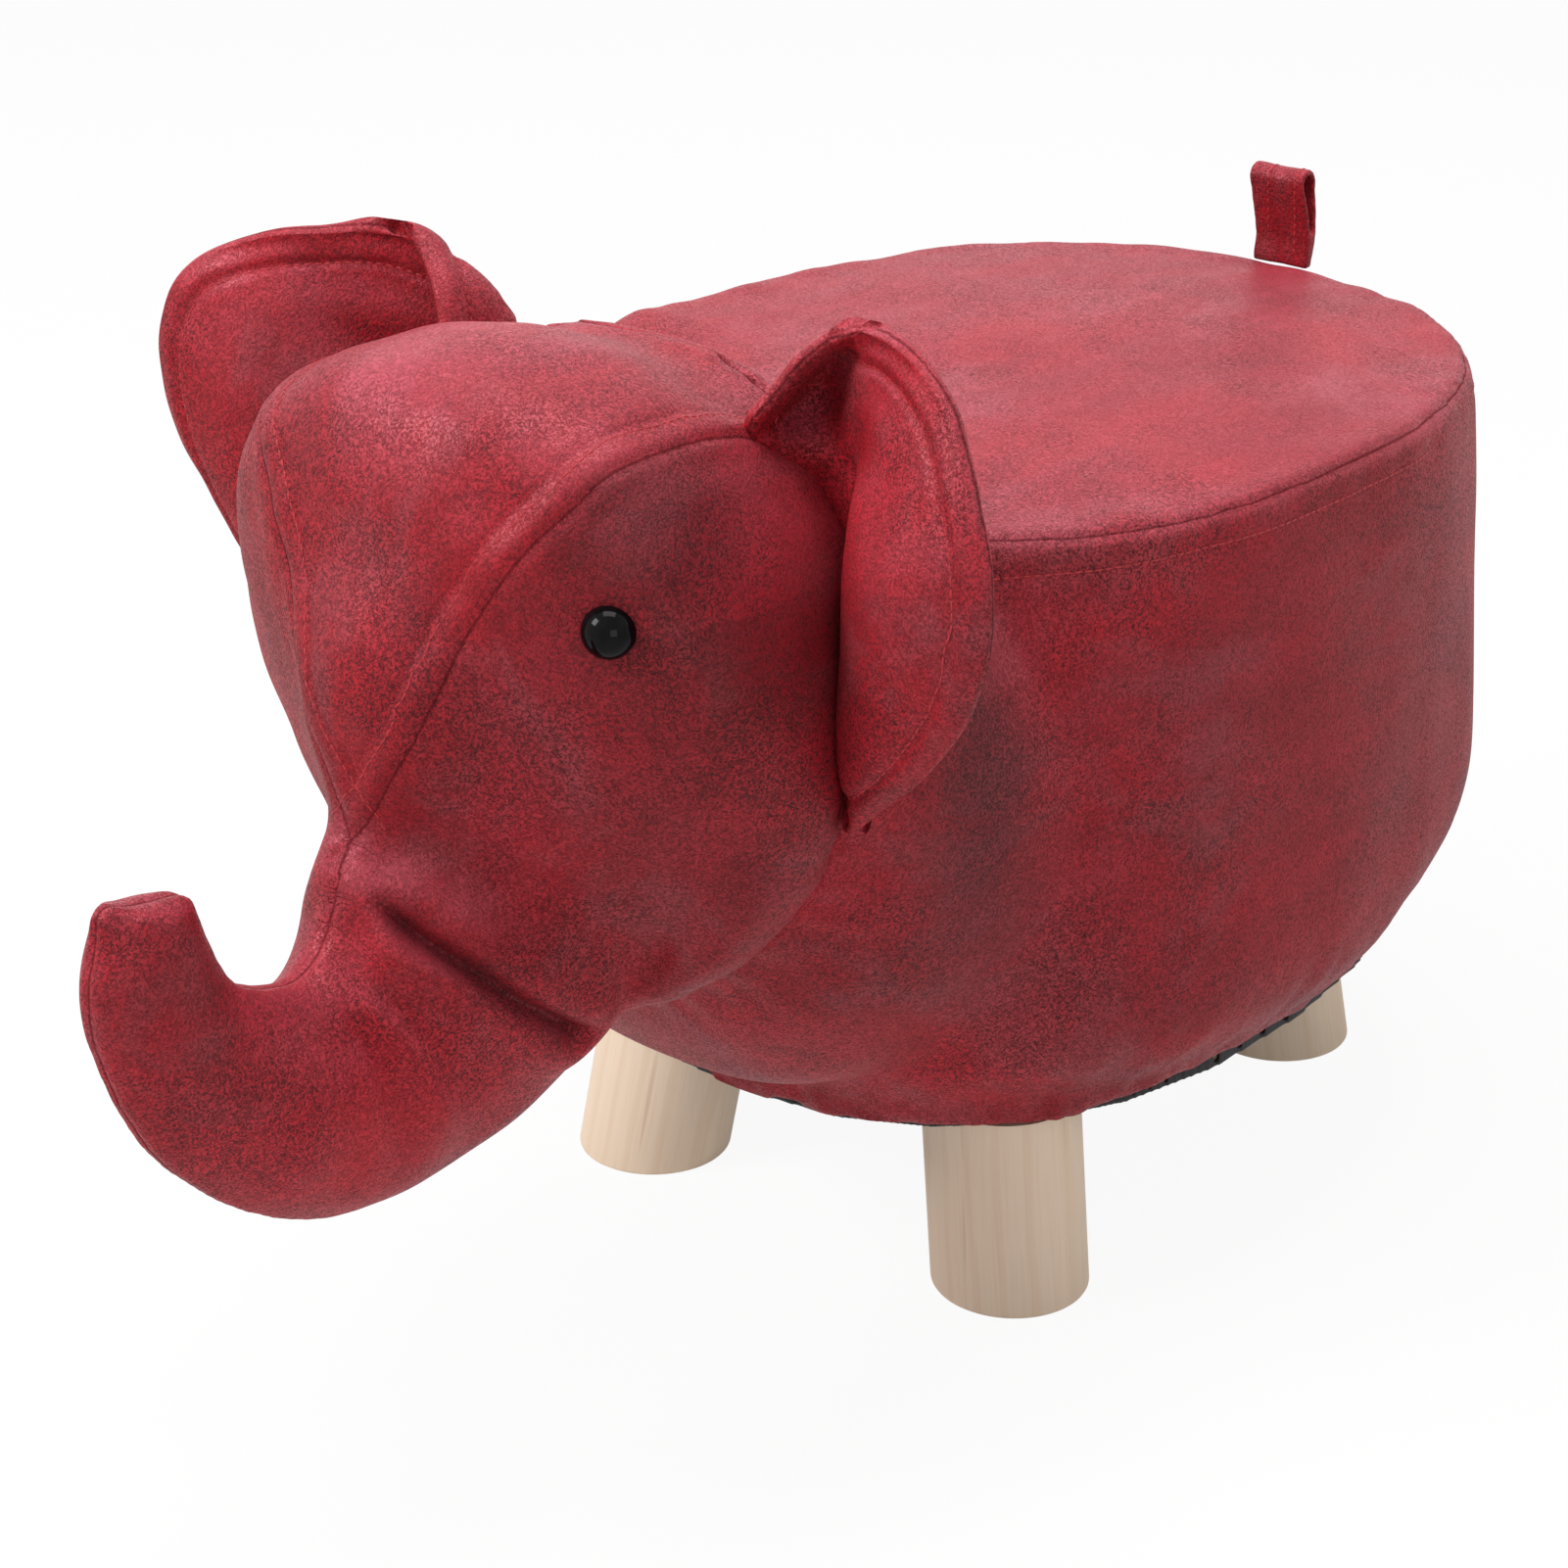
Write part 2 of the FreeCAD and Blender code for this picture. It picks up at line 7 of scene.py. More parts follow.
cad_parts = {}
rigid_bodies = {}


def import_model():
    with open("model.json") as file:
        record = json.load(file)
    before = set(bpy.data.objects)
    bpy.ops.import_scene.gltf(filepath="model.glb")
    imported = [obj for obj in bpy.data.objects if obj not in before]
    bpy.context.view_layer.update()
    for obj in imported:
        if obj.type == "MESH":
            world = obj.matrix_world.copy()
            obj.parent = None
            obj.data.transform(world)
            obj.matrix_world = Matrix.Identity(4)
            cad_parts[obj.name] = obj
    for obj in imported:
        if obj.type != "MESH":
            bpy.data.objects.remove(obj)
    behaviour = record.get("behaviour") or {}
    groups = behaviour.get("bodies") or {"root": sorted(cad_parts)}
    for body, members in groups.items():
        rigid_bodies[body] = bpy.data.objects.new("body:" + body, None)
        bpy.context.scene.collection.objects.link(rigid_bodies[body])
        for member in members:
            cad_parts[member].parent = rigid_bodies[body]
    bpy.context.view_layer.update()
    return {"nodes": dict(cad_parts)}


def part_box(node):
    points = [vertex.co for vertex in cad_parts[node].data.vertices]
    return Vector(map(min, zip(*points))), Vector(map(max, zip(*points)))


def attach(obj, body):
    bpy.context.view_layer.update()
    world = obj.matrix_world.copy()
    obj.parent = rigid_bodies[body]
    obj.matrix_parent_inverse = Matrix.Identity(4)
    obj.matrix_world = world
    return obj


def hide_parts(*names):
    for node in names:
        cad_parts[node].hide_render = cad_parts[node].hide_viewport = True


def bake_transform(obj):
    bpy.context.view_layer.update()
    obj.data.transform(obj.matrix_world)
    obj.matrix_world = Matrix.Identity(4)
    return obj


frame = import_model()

scene = bpy.context.scene
mm = 0.001


# objects and meshes
def only(*objects):
    bpy.ops.object.select_all(action="DESELECT")
    for obj in objects:
        obj.select_set(True)
    bpy.context.view_layer.objects.active = objects[0]


def applied(obj, kind, **settings):
    only(obj)
    modifier = obj.modifiers.new(kind, kind)
    for key, value in settings.items():
        setattr(modifier, key, value)
    bpy.ops.object.modifier_apply(modifier=modifier.name)


def edited(obj, *steps):
    # runs operators in edit mode on what is selected
    only(obj)
    bpy.ops.object.mode_set(mode="EDIT")
    for step, settings in steps:
        step(**settings)
    bpy.ops.object.mode_set(mode="OBJECT")


def grown(add, **settings):
    # a new primitive, alone in the selection
    bpy.ops.object.select_all(action="DESELECT")
    add(**settings)
    return bpy.context.object


everything = (bpy.ops.mesh.select_all, {"action": "SELECT"})


def picked(obj, rule, kind="VERT"):
    # selects vertices, or edges whose two ends fit, by their place
    only(obj)
    bpy.ops.object.mode_set(mode="EDIT")
    bpy.ops.mesh.select_mode(type=kind)
    bpy.ops.mesh.select_all(action="DESELECT")
    bpy.ops.object.mode_set(mode="OBJECT")
    corners = obj.data.vertices
    if kind == "VERT":
        for corner in corners:
            corner.select = bool(rule(corner.co))
    else:
        for edge in obj.data.edges:
            edge.select = all(rule(corners[k].co) for k in edge.vertices)


def placed(obj):
    only(obj)
    bpy.ops.object.transform_apply(location=True, rotation=True, scale=True)
    return obj


def joined(name, objects):
    only(*objects)
    if len(objects) > 1:
        bpy.ops.object.join()
    objects[0].name = objects[0].data.name = name
    return objects[0]


def cloned(name, nodes):
    # copies of CAD nodes in one mesh, merged
    copies = []
    for node in nodes:
        copy = bpy.data.objects.new(name, frame["nodes"][node].data.copy())
        scene.collection.objects.link(copy)
        copies.append(copy)
    piece = joined(name, copies)
    piece.data.materials.clear()
    edited(piece, everything, (bpy.ops.mesh.remove_doubles, {"threshold": 0.00002}))
    return piece


def places(obj):
    co = np.empty(len(obj.data.vertices) * 3)
    obj.data.vertices.foreach_get("co", co)
    return co.reshape(-1, 3)


def normalsOf(obj):
    out = np.empty(len(obj.data.vertices) * 3)
    obj.data.vertex_normals.foreach_get("vector", out)
    return out.reshape(-1, 3)


def put(obj, co):
    obj.data.vertices.foreach_set("co", np.asarray(co, float).ravel())
    obj.data.update()


def tube(name, rings):
    # a closed skin over rings of points: a grid rolled up, its two ends drawn to points
    rings = np.array(rings)
    ends = [np.repeat(rings[k].mean(0)[None], rings.shape[1], 0)[None] for k in (0, -1)]
    rings = np.concatenate([ends[0], rings, ends[1]])
    rows, sides = rings.shape[:2]
    skin = grown(bpy.ops.mesh.primitive_grid_add, x_subdivisions=sides, y_subdivisions=rows - 1, size=1)
    skin.name = skin.data.name = name
    flat = places(skin)
    column = np.rint((flat[:, 0] + 0.5) * sides).astype(int) % sides
    row = np.rint((flat[:, 1] + 0.5) * (rows - 1)).astype(int)
    put(skin, rings[row, column])
    edited(skin, everything,
           (bpy.ops.mesh.remove_doubles, {"threshold": 0.00001}),
           (bpy.ops.mesh.normals_make_consistent, {"inside": False}))
    return skin


def outerSkin(obj, voxel):
    # one closed skin round everything in the mesh
    applied(obj, "REMESH", mode="VOXEL", voxel_size=voxel, use_smooth_shade=True)
    top = max(obj.data.vertices, key=lambda v: v.co.z).index
    picked(obj, lambda place: False)
    obj.data.vertices[top].select = True
    edited(obj, (bpy.ops.mesh.select_linked, {}), (bpy.ops.mesh.select_all, {"action": "INVERT"}),
           (bpy.ops.mesh.delete, {"type": "VERT"}))


def relaxed(obj, weight, steps):
    # each vertex moves half way towards the middle of its neighbours, times its weight
    co = places(obj)
    edges = np.empty(len(obj.data.edges) * 2, int)
    obj.data.edges.foreach_get("vertices", edges)
    a, b = edges.reshape(-1, 2).T
    count = np.bincount(a, minlength=len(co)) + np.bincount(b, minlength=len(co))
    weight = np.broadcast_to(weight, len(co))[:, None] / 2
    for _ in range(steps):
        total = np.zeros_like(co)
        for axis in range(3):
            total[:, axis] = (np.bincount(a, co[b, axis], len(co))
                              + np.bincount(b, co[a, axis], len(co)))
        co = co + (total / count[:, None] - co) * weight
    put(obj, co)


# curves and measures
def curved(rows, count):
    # a smooth line through the rows, read at an even number of places
    rows = np.array(rows, float)
    rows = np.concatenate([2 * rows[:1] - rows[1:2], rows, 2 * rows[-1:] - rows[-2:-1]])
    spot = np.linspace(0, 1, count) * (len(rows) - 3)
    k = np.minimum(spot.astype(int), len(rows) - 4)
    t = (spot - k).reshape([-1] + [1] * (rows.ndim - 1))
    a, b, c, d = (rows[k + n] for n in range(4))
    return b + t / 2 * (c - a + t * (2 * a - 5 * b + 4 * c - d + t * (3 * b - a - 3 * c + d)))


def oval(middle, across, up, halfWidth, halfHeight, fullness, sides=160):
    # a full oval in the plane of two directions
    turn = np.linspace(0, 2 * math.pi, sides, endpoint=False)
    flat = [np.sign(s) * np.abs(s) ** (2 / fullness) for s in (np.cos(turn), np.sin(turn))]
    return middle + np.outer(flat[0] * halfWidth, across) + np.outer(flat[1] * halfHeight, up)


def fade(value, start, end):
    # 0 before start, 1 after end
    t = np.clip((value - start) / (end - start), 0, 1)
    return t * t * (3 - 2 * t)


def bell(value, width):
    return np.exp(-(value / width) ** 2)


def gapTo(co, spot):
    return np.linalg.norm(co - np.array(spot), axis=1)


def wobble(co, size, seed, stretch=(1, 1, 1)):
    # smooth noise from -1 to 1 whose bumps are about size across
    offset = Vector((seed * 3.7, seed * 1.3, seed * 2.1))
    grid = co / size * np.array(stretch)
    return np.array([noise.noise(Vector(p) + offset) for p in grid])


def treeOf(obj):
    return BVHTree.FromObject(obj, bpy.context.evaluated_depsgraph_get())


def shot(tree, start, direction):
    # where a line from outside first meets the skin
    return tree.ray_cast(Vector(start), Vector(direction))[0]


def spaced(points, step):
    # the same line with points at an even step
    points = np.array([p[:] for p in points])
    run = np.r_[0, np.cumsum(np.linalg.norm(np.diff(points, axis=0), axis=1))]
    at = np.linspace(0, run[-1], max(2, int(round(run[-1] / step)) + 1))
    return np.stack([np.interp(at, run, points[:, k]) for k in range(3)], 1)


def eased(path, steps):
    # the same line with its corners rounded
    path = path.copy()
    for _ in range(steps):
        path[1:-1] = path[1:-1] / 2 + (path[:-2] + path[2:]) / 4
    return path


def beside(tree, path, shift):
    # the same line on the skin, moved sideways by shift
    moved = []
    for index, point in enumerate(path):
        ahead = path[min(index + 4, len(path) - 1)] - path[max(index - 4, 0)]
        _, normal, _, _ = tree.find_nearest(Vector(point))
        side = Vector(ahead).cross(normal).normalized()
        moved.append(tree.find_nearest(Vector(point) + side * shift)[0])
    return eased(spaced(moved, mm), 6)


def awayFrom(co, normal, *paths):
    # distance of each vertex to the nearest line, below 0 on the line's left
    points = np.concatenate(paths)
    ahead = np.concatenate([np.gradient(path, axis=0) for path in paths])
    tree = kdtree.KDTree(len(points))
    for index, point in enumerate(points):
        tree.insert(point, index)
    tree.balance()
    found = [tree.find(place)[1:] for place in co]
    nearest = np.array([index for index, _ in found])
    distance = np.array([gap for _, gap in found])
    side = np.cross(ahead[nearest], normal)
    return distance * np.where(((co - points[nearest]) * side).sum(1) < 0, -1, 1)


def kept(obj, name, values):
    attribute = obj.data.attributes.new(name, "FLOAT", "POINT")
    attribute.data.foreach_set("value", np.asarray(values, np.float32))


def keptSeamAndPaintedLight(obj, seam, paintedShade=0):
    # kept with the mesh for its finish: the distance to the seam, painted shade, and how far it faces up,
    # which paints a sheen on the tops
    kept(obj, "seam", seam)
    kept(obj, "paintedShade", np.clip(paintedShade + np.zeros(len(obj.data.vertices)), 0, 1))
    kept(obj, "paintedSheen", fade(normalsOf(obj)[:, 2], 0.05, 0.8))


def puffed(obj, held, pressure, cap):
    # cloth pressure, held along the seams and capped
    start = places(obj)
    group = obj.vertex_groups.new(name="held")
    for index in np.nonzero(held > 0.02)[0]:
        group.add([int(index)], float(held[index]), "REPLACE")
    only(obj)
    cloth = obj.modifiers.new("cloth", "CLOTH")
    cloth.settings.vertex_group_mass = "held"
    cloth.settings.use_pressure = True
    cloth.settings.uniform_pressure_force = pressure
    cloth.settings.effector_weights.gravity = 0
    for number in range(1, 21):
        scene.frame_set(number)
    bpy.ops.object.modifier_apply(modifier="cloth")
    scene.frame_set(1)
    obj.vertex_groups.clear()
    move = places(obj) - start
    length = np.linalg.norm(move, axis=1)[:, None]
    put(obj, start + move * np.minimum(1, cap / np.maximum(length, 1e-9)))


def stitched(name, tree, path, thread):
    # a row of thread stitches half sunk along a line on the skin
    model = grown(bpy.ops.mesh.primitive_uv_sphere_add, segments=6, ring_count=5, radius=1)
    size = (thread["length"] / 2, thread["radius"], thread["radius"])
    edited(model, everything, (bpy.ops.transform.resize, {"value": size}))
    stops = spaced(path, thread["pitch"])
    stitches = []
    for here, ahead in zip(stops[:-1], stops[1:]):
        middle = Vector((here + ahead) / 2)
        spot, normal, _, _ = tree.find_nearest(middle)
        along = Vector(ahead - here).normalized()
        side = normal.cross(along).normalized()
        up = along.cross(side)
        stitch = bpy.data.objects.new(name, model.data.copy())
        stitch.data.transform(Matrix((along, side, up)).transposed().to_4x4())
        stitch.data.transform(Matrix.Translation(spot - normal * thread["sunk"]))
        scene.collection.objects.link(stitch)
        stitches.append(stitch)
    bpy.data.objects.remove(model)
    row = joined(name, stitches)
    only(row)
    bpy.ops.object.shade_smooth()
    return row


# shader maths
class Shade:
    def __init__(self, tree, socket=None):
        self.tree, self.socket = tree, socket

    def node(self, kind, settings=None, inputs=None, output=0):
        made = self.tree.nodes.new("ShaderNode" + kind)
        for key, value in (settings or {}).items():
            setattr(made, key, value)
        for key, value in (inputs or {}).items():
            if isinstance(value, Shade):
                self.tree.links.new(value.socket, made.inputs[key])
            else:
                made.inputs[key].default_value = value
        return Shade(self.tree, made.outputs[output] if len(made.outputs) else None)

    def other(self, output):
        return Shade(self.tree, self.socket.node.outputs[output])

    def maths(self, operation, *others):
        return self.node("Math", {"operation": operation}, dict(enumerate((self,) + others)))

    def __add__(self, other):
        return self.maths("ADD", other)

    def __mul__(self, other):
        return self.maths("MULTIPLY", other)

    def __sub__(self, other):
        return self.maths("SUBTRACT", other)

    def __rsub__(self, other):
        return self.node("Math", {"operation": "SUBTRACT"}, {0: other, 1: self})

    __radd__, __rmul__ = __add__, __mul__

    def bounded(self, low, high):
        # 0 below low, 1 above high, smooth between
        return self.node("MapRange", {"interpolation_type": "SMOOTHSTEP"},
                         {"Value": self, "From Min": low, "From Max": high})

    def blend(self, first, second):
        # first where self is 0, second where it is 1
        return self.node("Mix", {"data_type": "RGBA"}, {0: self, 6: first, 7: second}, 2)

    def noisy(self, scale, detail=2.0, rough=0.5, distortion=0.0):
        return self.node("TexNoise", {}, {"Vector": self, "Scale": scale, "Detail": detail,
                                          "Roughness": rough, "Distortion": distortion})

    def stretched(self, scale, turn=(0, 0, 0)):
        return self.node("Mapping", {}, {"Vector": self, "Scale": scale, "Rotation": turn})

    def attribute(self, name, output=2):
        return self.node("Attribute", {"attribute_name": name}, {}, output)

    def surface(self, base, rough, height, strength, distance=0.0003, specular=0.5, metallic=0.0):
        bump = self.node("Bump", {}, {"Strength": strength, "Distance": distance, "Height": height})
        return self.node("BsdfPrincipled", {}, {"Base Color": base, "Roughness": rough, "Metallic": metallic,
                                                "Normal": bump, "Specular IOR Level": specular})


def colour(red, green, blue):
    return (red, green, blue, 1)


def material(name, build):
    made = bpy.data.materials.new(name)
    made.use_nodes = True
    made.node_tree.nodes.clear()
    shade = Shade(made.node_tree)
    surface = build(shade, shade.node("TexCoord", output=3))
    shade.node("OutputMaterial", {}, {"Surface": surface})
    return made


def dressed(obj, finish):
    obj.data.materials.clear()
    obj.data.materials.append(finishes[finish])


leatherLook = {
    "bright": colour(0.50, 0.012, 0.025), "deep": colour(0.27, 0.006, 0.0125),
    "dark": colour(0.045, 0.0025, 0.0045), "bloomAndSheen": colour(0.53, 0.10, 0.135),
    "haze": colour(0.26, 0.058, 0.070), "line": colour(0.085, 0.003, 0.006),
    "grain": 640.0, "roughness": 0.48, "stretch": (1, 0.25, 0.7), "slant": (0.5, 0.25, 0.5),
}


def leather(shade, place):
    look = leatherLook
    paintedSheen = place.attribute("paintedSheen")  # 1 where the cover faces up: a painted sheen
    paintedShade = place.attribute("paintedShade")  # 1 in its darkest painted shade
    broad = place.noisy(11.0, 3.0, 0.55).bounded(0.36, 0.64)
    brushed = place.stretched((1, 0.22, 0.7), look["slant"]).noisy(46.0, 5.0, 0.62, 0.3)
    streaks = brushed.bounded(0.38, 0.62)
    # lighter towards the tops: a painted sheen
    base = (broad * 0.45 + streaks * 0.35 + paintedSheen * 0.2).blend(look["deep"], look["bright"])
    smoke = place.stretched(look["stretch"], look["slant"]).noisy(30.0, 5.0, 0.66, 0.4).bounded(0.48, 0.66)
    base = (smoke * (0.42 - 0.2 * paintedSheen)).blend(base, look["haze"])
    # the bloom colour: thin streaks all over, and a painted sheen on the tops
    bloomAndSheen = place.stretched((1, 0.45, 0.8), look["slant"]).noisy(24.0, 4.0, 0.6).bounded(0.45, 0.7)
    base = (bloomAndSheen * 0.08 + paintedSheen * (0.34 + bloomAndSheen * 0.34)).blend(base, look["bloomAndSheen"])
    grain = place.noisy(look["grain"], 2.0, 0.6, 0.9)
    ridge = (grain - 0.5).maths("ABSOLUTE").bounded(0.006, 0.05)  # 0 on a wrinkle of the grain
    pits = place.noisy(look["grain"] * 1.9, 1.5, 0.5).bounded(0.48, 0.60)
    patch = place.noisy(21.0, 3.0, 0.6).bounded(0.40, 0.62)
    # dark specks: fewer under the painted sheen on the tops, more in the painted shade
    inked = 0.46 + 0.42 * patch - 0.26 * paintedSheen + 0.3 * paintedShade
    # painted shade laid over the colour
    base = (paintedShade * 0.7).blend(base, look["dark"])
    base = ((1 - ridge) * inked).maths("MINIMUM", 0.96).blend(base, look["dark"])
    base = (pits * inked * 0.6).maths("MINIMUM", 0.9).blend(base, look["dark"])
    line = 1 - place.attribute("seam").maths("ABSOLUTE").bounded(0.00015, 0.00075)
    base = (line * 0.65).blend(base, look["line"])
    height = ridge * 0.7 - pits * 0.45 + brushed * 0.5 - line * 0.6
    rough = look["roughness"] + 0.12 * (1 - ridge) + 0.1 * pits - 0.10 * paintedSheen + 0.35 * line
    return place.surface(base, rough, height, 0.7, 0.0005, 0.22)


def thread(shade, place):
    twist = place.stretched((1, 1, 1), (0.5, 0.6, 0)).noisy(2600.0, 1.0)
    base = twist.bounded(0.35, 0.65).blend(colour(0.26, 0.006, 0.011), colour(0.48, 0.012, 0.020))
    return place.surface(base, 0.5, twist, 0.4, 0.0002)


def pine(shade, place):
    # growth rings round a pith outside the leg, and long fibres
    own = place.attribute("grain", 1)
    wander = own.stretched((14, 14, 4)).noisy(1.0, 3.0) * 0.016
    part = own.node("SeparateXYZ", {}, {0: own})
    across, depth = part + wander, part.other(1) + wander
    radius = (across * across + depth * depth).maths("SQRT")
    spread = (own.stretched((20, 20, 1)).noisy(1.0, 1.0) * 2.2 + radius * 700.0).maths("SINE")
    late = spread.bounded(0.4, 1.0)
    fibre = own.stretched((900, 900, 26)).noisy(1.0, 3.0, 0.6)
    fleck = own.stretched((240, 240, 9)).noisy(1.0, 2.0, 0.5).bounded(0.64, 0.74)
    base = (late * 0.34).blend(colour(0.80, 0.64, 0.49), colour(0.72, 0.53, 0.37))
    base = (fibre.bounded(0.45, 0.75) * 0.25).blend(base, colour(0.66, 0.48, 0.33))
    base = (fleck * 0.35).blend(base, colour(0.42, 0.25, 0.13))
    return place.surface(base, 0.62, fibre - late * 0.4, 0.25, specular=0.3)


def nonwoven(shade, place):
    # pressed black fibres with a field of small bonding dots
    fibres = place.noisy(900.0, 3.0, 0.7, 1.2)
    dots = place.node("TexVoronoi", {}, {"Vector": place, "Scale": 520.0, "Randomness": 0.15})
    base = fibres.bounded(0.3, 0.7).blend(colour(0.006, 0.006, 0.007), colour(0.022, 0.021, 0.023))
    return place.surface(base, 0.82, fibres + dots.bounded(0.2, 0.5), 0.5)


def eyePlastic(shade, place):
    faint = place.noisy(260.0, 2.0)
    base = faint.bounded(0.4, 0.6).blend(colour(0.001, 0.001, 0.0015), colour(0.003, 0.003, 0.0035))
    return place.node("BsdfPrincipled", {}, {"Base Color": base, "Roughness": 0.07 + 0.05 * faint,
                                             "Specular IOR Level": 0.1})


def plain(first, second, scale, roughness, metallic=0.0, stretch=(1, 1, 1)):
    # a two-tone finish with a fine bump, for what is inside
    def build(shade, place):
        grain = place.stretched(stretch).noisy(scale, 3.0, 0.6)
        base = grain.bounded(0.35, 0.65).blend(colour(*first), colour(*second))
        return place.surface(base, roughness, grain, 0.3, metallic=metallic)
    return build


finishes = {
    "leather": material("distressedLeather", leather),
    "thread": material("redThread", thread),
    "pine": material("paleSandedPine", pine),
    "nonwoven": material("blackNonwoven", nonwoven),
    "eye": material("polishedEye", eyePlastic),
    "plywood": material("birchPly", plain((0.55, 0.40, 0.25), (0.70, 0.55, 0.38), 90, 0.7, 0, (1, 0.1, 4))),
    "steel": material("zincPlate", plain((0.55, 0.55, 0.57), (0.70, 0.70, 0.73), 700, 0.35, 1)),
    "staple": material("blackenedWire", plain((0.02, 0.02, 0.022), (0.04, 0.04, 0.043), 700, 0.5, 1)),
    "washer": material("ivoryNylon", plain((0.70, 0.70, 0.66), (0.78, 0.78, 0.74), 600, 0.5)),
}
print("materials made")

# the camera stands where the photograph was taken from
view = {"place": (0.6358, -0.83585, 0.6283), "target": (-0.05776, 0.06793, 0.1139), "focus": 3898,
        "frame": 1601}
cameraData = bpy.data.cameras.new("camera")
cameraData.sensor_fit = "HORIZONTAL"
cameraData.sensor_width = 36
cameraData.lens = view["focus"] / view["frame"] * 36
cameraData.clip_end = 50
camera = bpy.data.objects.new("camera", cameraData)
scene.collection.objects.link(camera)
camera.location = view["place"]
camera.rotation_euler = (Vector(view["target"]) - camera.location).to_track_quat("-Z", "Y").to_euler()
scene.camera = camera

# the neck seam, where head and seat cover are sewn together in one leaning plane
neckSeam = {"middle": np.array((0, -0.08575, 0.226)), "lean": math.radians(11.3), "halfWidth": 0.086,
            "halfHeight": 0.0905, "reach": 0.044, "fullness": 2.25}
towardsHead = np.array((0, -math.cos(neckSeam["lean"]), math.sin(neckSeam["lean"])))
xAxis = np.array((1, 0, 0))


def leanedUp(share):
    lean = neckSeam["lean"] * share
    return np.array((0, math.sin(lean), math.cos(lean)))


def aheadOfNeck(co):
    return (co - neckSeam["middle"]) @ towardsHead


def neckPuckers(co, seed, low):
    # short creases that run away from the neck seam, stronger under the chin
    away = np.abs(aheadOfNeck(co))
    angle = np.arctan2(co[:, 0], co[:, 2] - 0.2)
    ring = np.stack([np.sin(angle), np.cos(angle), away * 4], 1) * 0.09
    strength = low + (1 - low) * fade(-co[:, 2], -0.23, -0.15)
    return wobble(ring, 0.0085, seed) * bell(away - 0.004, 0.016) * strength


# seat cover: panel, side band, gathered hem and neck
seatLook = {
    "voxel": 0.004, "pressure": 4, "cap": 0.0024, "shrink": 0.0012, "flare": 0.011, "crown": 0.005,
    "fullness": 2.34, "stitchDrop": 0.0098, "groove": 0.0011, "gather": 0.0016, "rearDrop": 0.0042,
    "hemInset": 0.0104, "hemLow": 0.0612, "hemRise": 0.0058, "tuck": 0.0706,
    "broad": 0.0015, "wave": 0.0013, "pucker": 0.0008, "plump": 0.0007, "stitchDent": 0.0004,
    "neckCrease": 0.0016, "topWave": 0.0011, "shoulder": (-0.120, 0.058), "shoulderRise": 0.0070,
    "lowCorner": 0.0032, "paintedShadeBand": (-0.0426, 0.2163), "bandWidth": 0.024, "bandDepth": 0.9}
seatNodes = ("cover_seat", "cover_side", "cover_hem", "neck_cover", "seat_foam", "side_foam",
             "neck_stuffing", "hem_elastic")
low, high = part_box("cover_side")
seatShape = {"halfWidth": (high.x - low.x) / 2 - seatLook["flare"],
             "halfLength": (high.y - low.y) / 2 - seatLook["flare"],
             "middleY": (high.y + low.y) / 2, "hemTop": low.z, "seam": high.z - 0.0008}
bandShares = ((0, -0.5), (0.05, 0.14), (0.1, 0.62), (0.17, 0.94), (0.27, 1.0), (0.39, 0.88), (0.58, 0.71),
              (0.76, 0.59), (0.93, 0.40), (1, 0.14))  # height, flare
crownShares = ((0, 0.02), (0.02, 0.2), (0.06, 0.42), (0.14, 0.64), (0.3, 0.84), (0.6, 0.97), (0.9, 1))
neckShares = ((-1.1, -0.69, 1.18, 0.95, 0), (0, -0.5, 1.18, 1.13, 0.2), (0.5, -0.28, 1.12, 1.12, 0.6),
              (0.85, -0.07, 1.04, 1.04, 0.9), (1, 0, 1, 1, 1))  # forward, drop, width, height, lean


def seatRing(inset, z):
    shape = seatShape
    ring = oval(np.array((0, shape["middleY"], 0)), xAxis, np.array((0, 1, 0)),
                shape["halfWidth"] - inset, shape["halfLength"] - inset, seatLook["fullness"], 240)
    ring[:, 2] = z
    return ring


def hemBottom(ring):
    # the gathered edge hangs lower in front of the near legs and waves all round
    edge = np.stack([ring[:, 0], ring[:, 1], 0 * ring[:, 0]], 1)
    lifted = fade(ring[:, 1], 0.0, 0.06) + 1.4 * fade(-ring[:, 0], 0.0, 0.03)
    return (seatLook["hemLow"] + seatLook["hemRise"] * np.clip(lifted, 0, 1.4)
            + 0.0009 * wobble(edge, 0.024, 2) + 0.0011 * wobble(edge, 0.0125, 9))


seatRings = []
look, shape = seatLook, seatShape
hem = hemBottom(seatRing(look["hemInset"], 0))
hemShares = ((0.0195, None), (0.0138, 0.35), (0.012, 0.08), (0.0106, 0), (0.0094, 0.12), (0.0078, 0.5))
for inset, share in hemShares:  # inset, height
    z = look["tuck"] if share is None else hem + (shape["hemTop"] - hem) * share
    seatRings.append(seatRing(inset, z))
for rise, flare in curved(bandShares, 60):
    seatRings.append(seatRing(-look["flare"] * flare, shape["hemTop"] + (high.z - shape["hemTop"]) * rise))
for inward, rise in curved(crownShares, 30):
    seatRings.append(seatRing(shape["halfWidth"] * inward, high.z + look["crown"] * rise))
neckRings = []
for forward, drop, width, height, lean in curved(neckShares, 40):
    back = neckSeam["reach"] * (1 - forward)
    middle = neckSeam["middle"] + np.array((0, back, neckSeam["halfHeight"] * drop))
    neckRings.append(oval(middle, xAxis, leanedUp(lean), neckSeam["halfWidth"] * width,
                          neckSeam["halfHeight"] * height, neckSeam["fullness"]))
seatCover = joined("seat_cover", [tube("seat_cover", seatRings), tube("neck", neckRings)])
outerSkin(seatCover, seatLook["voxel"])
co = places(seatCover)
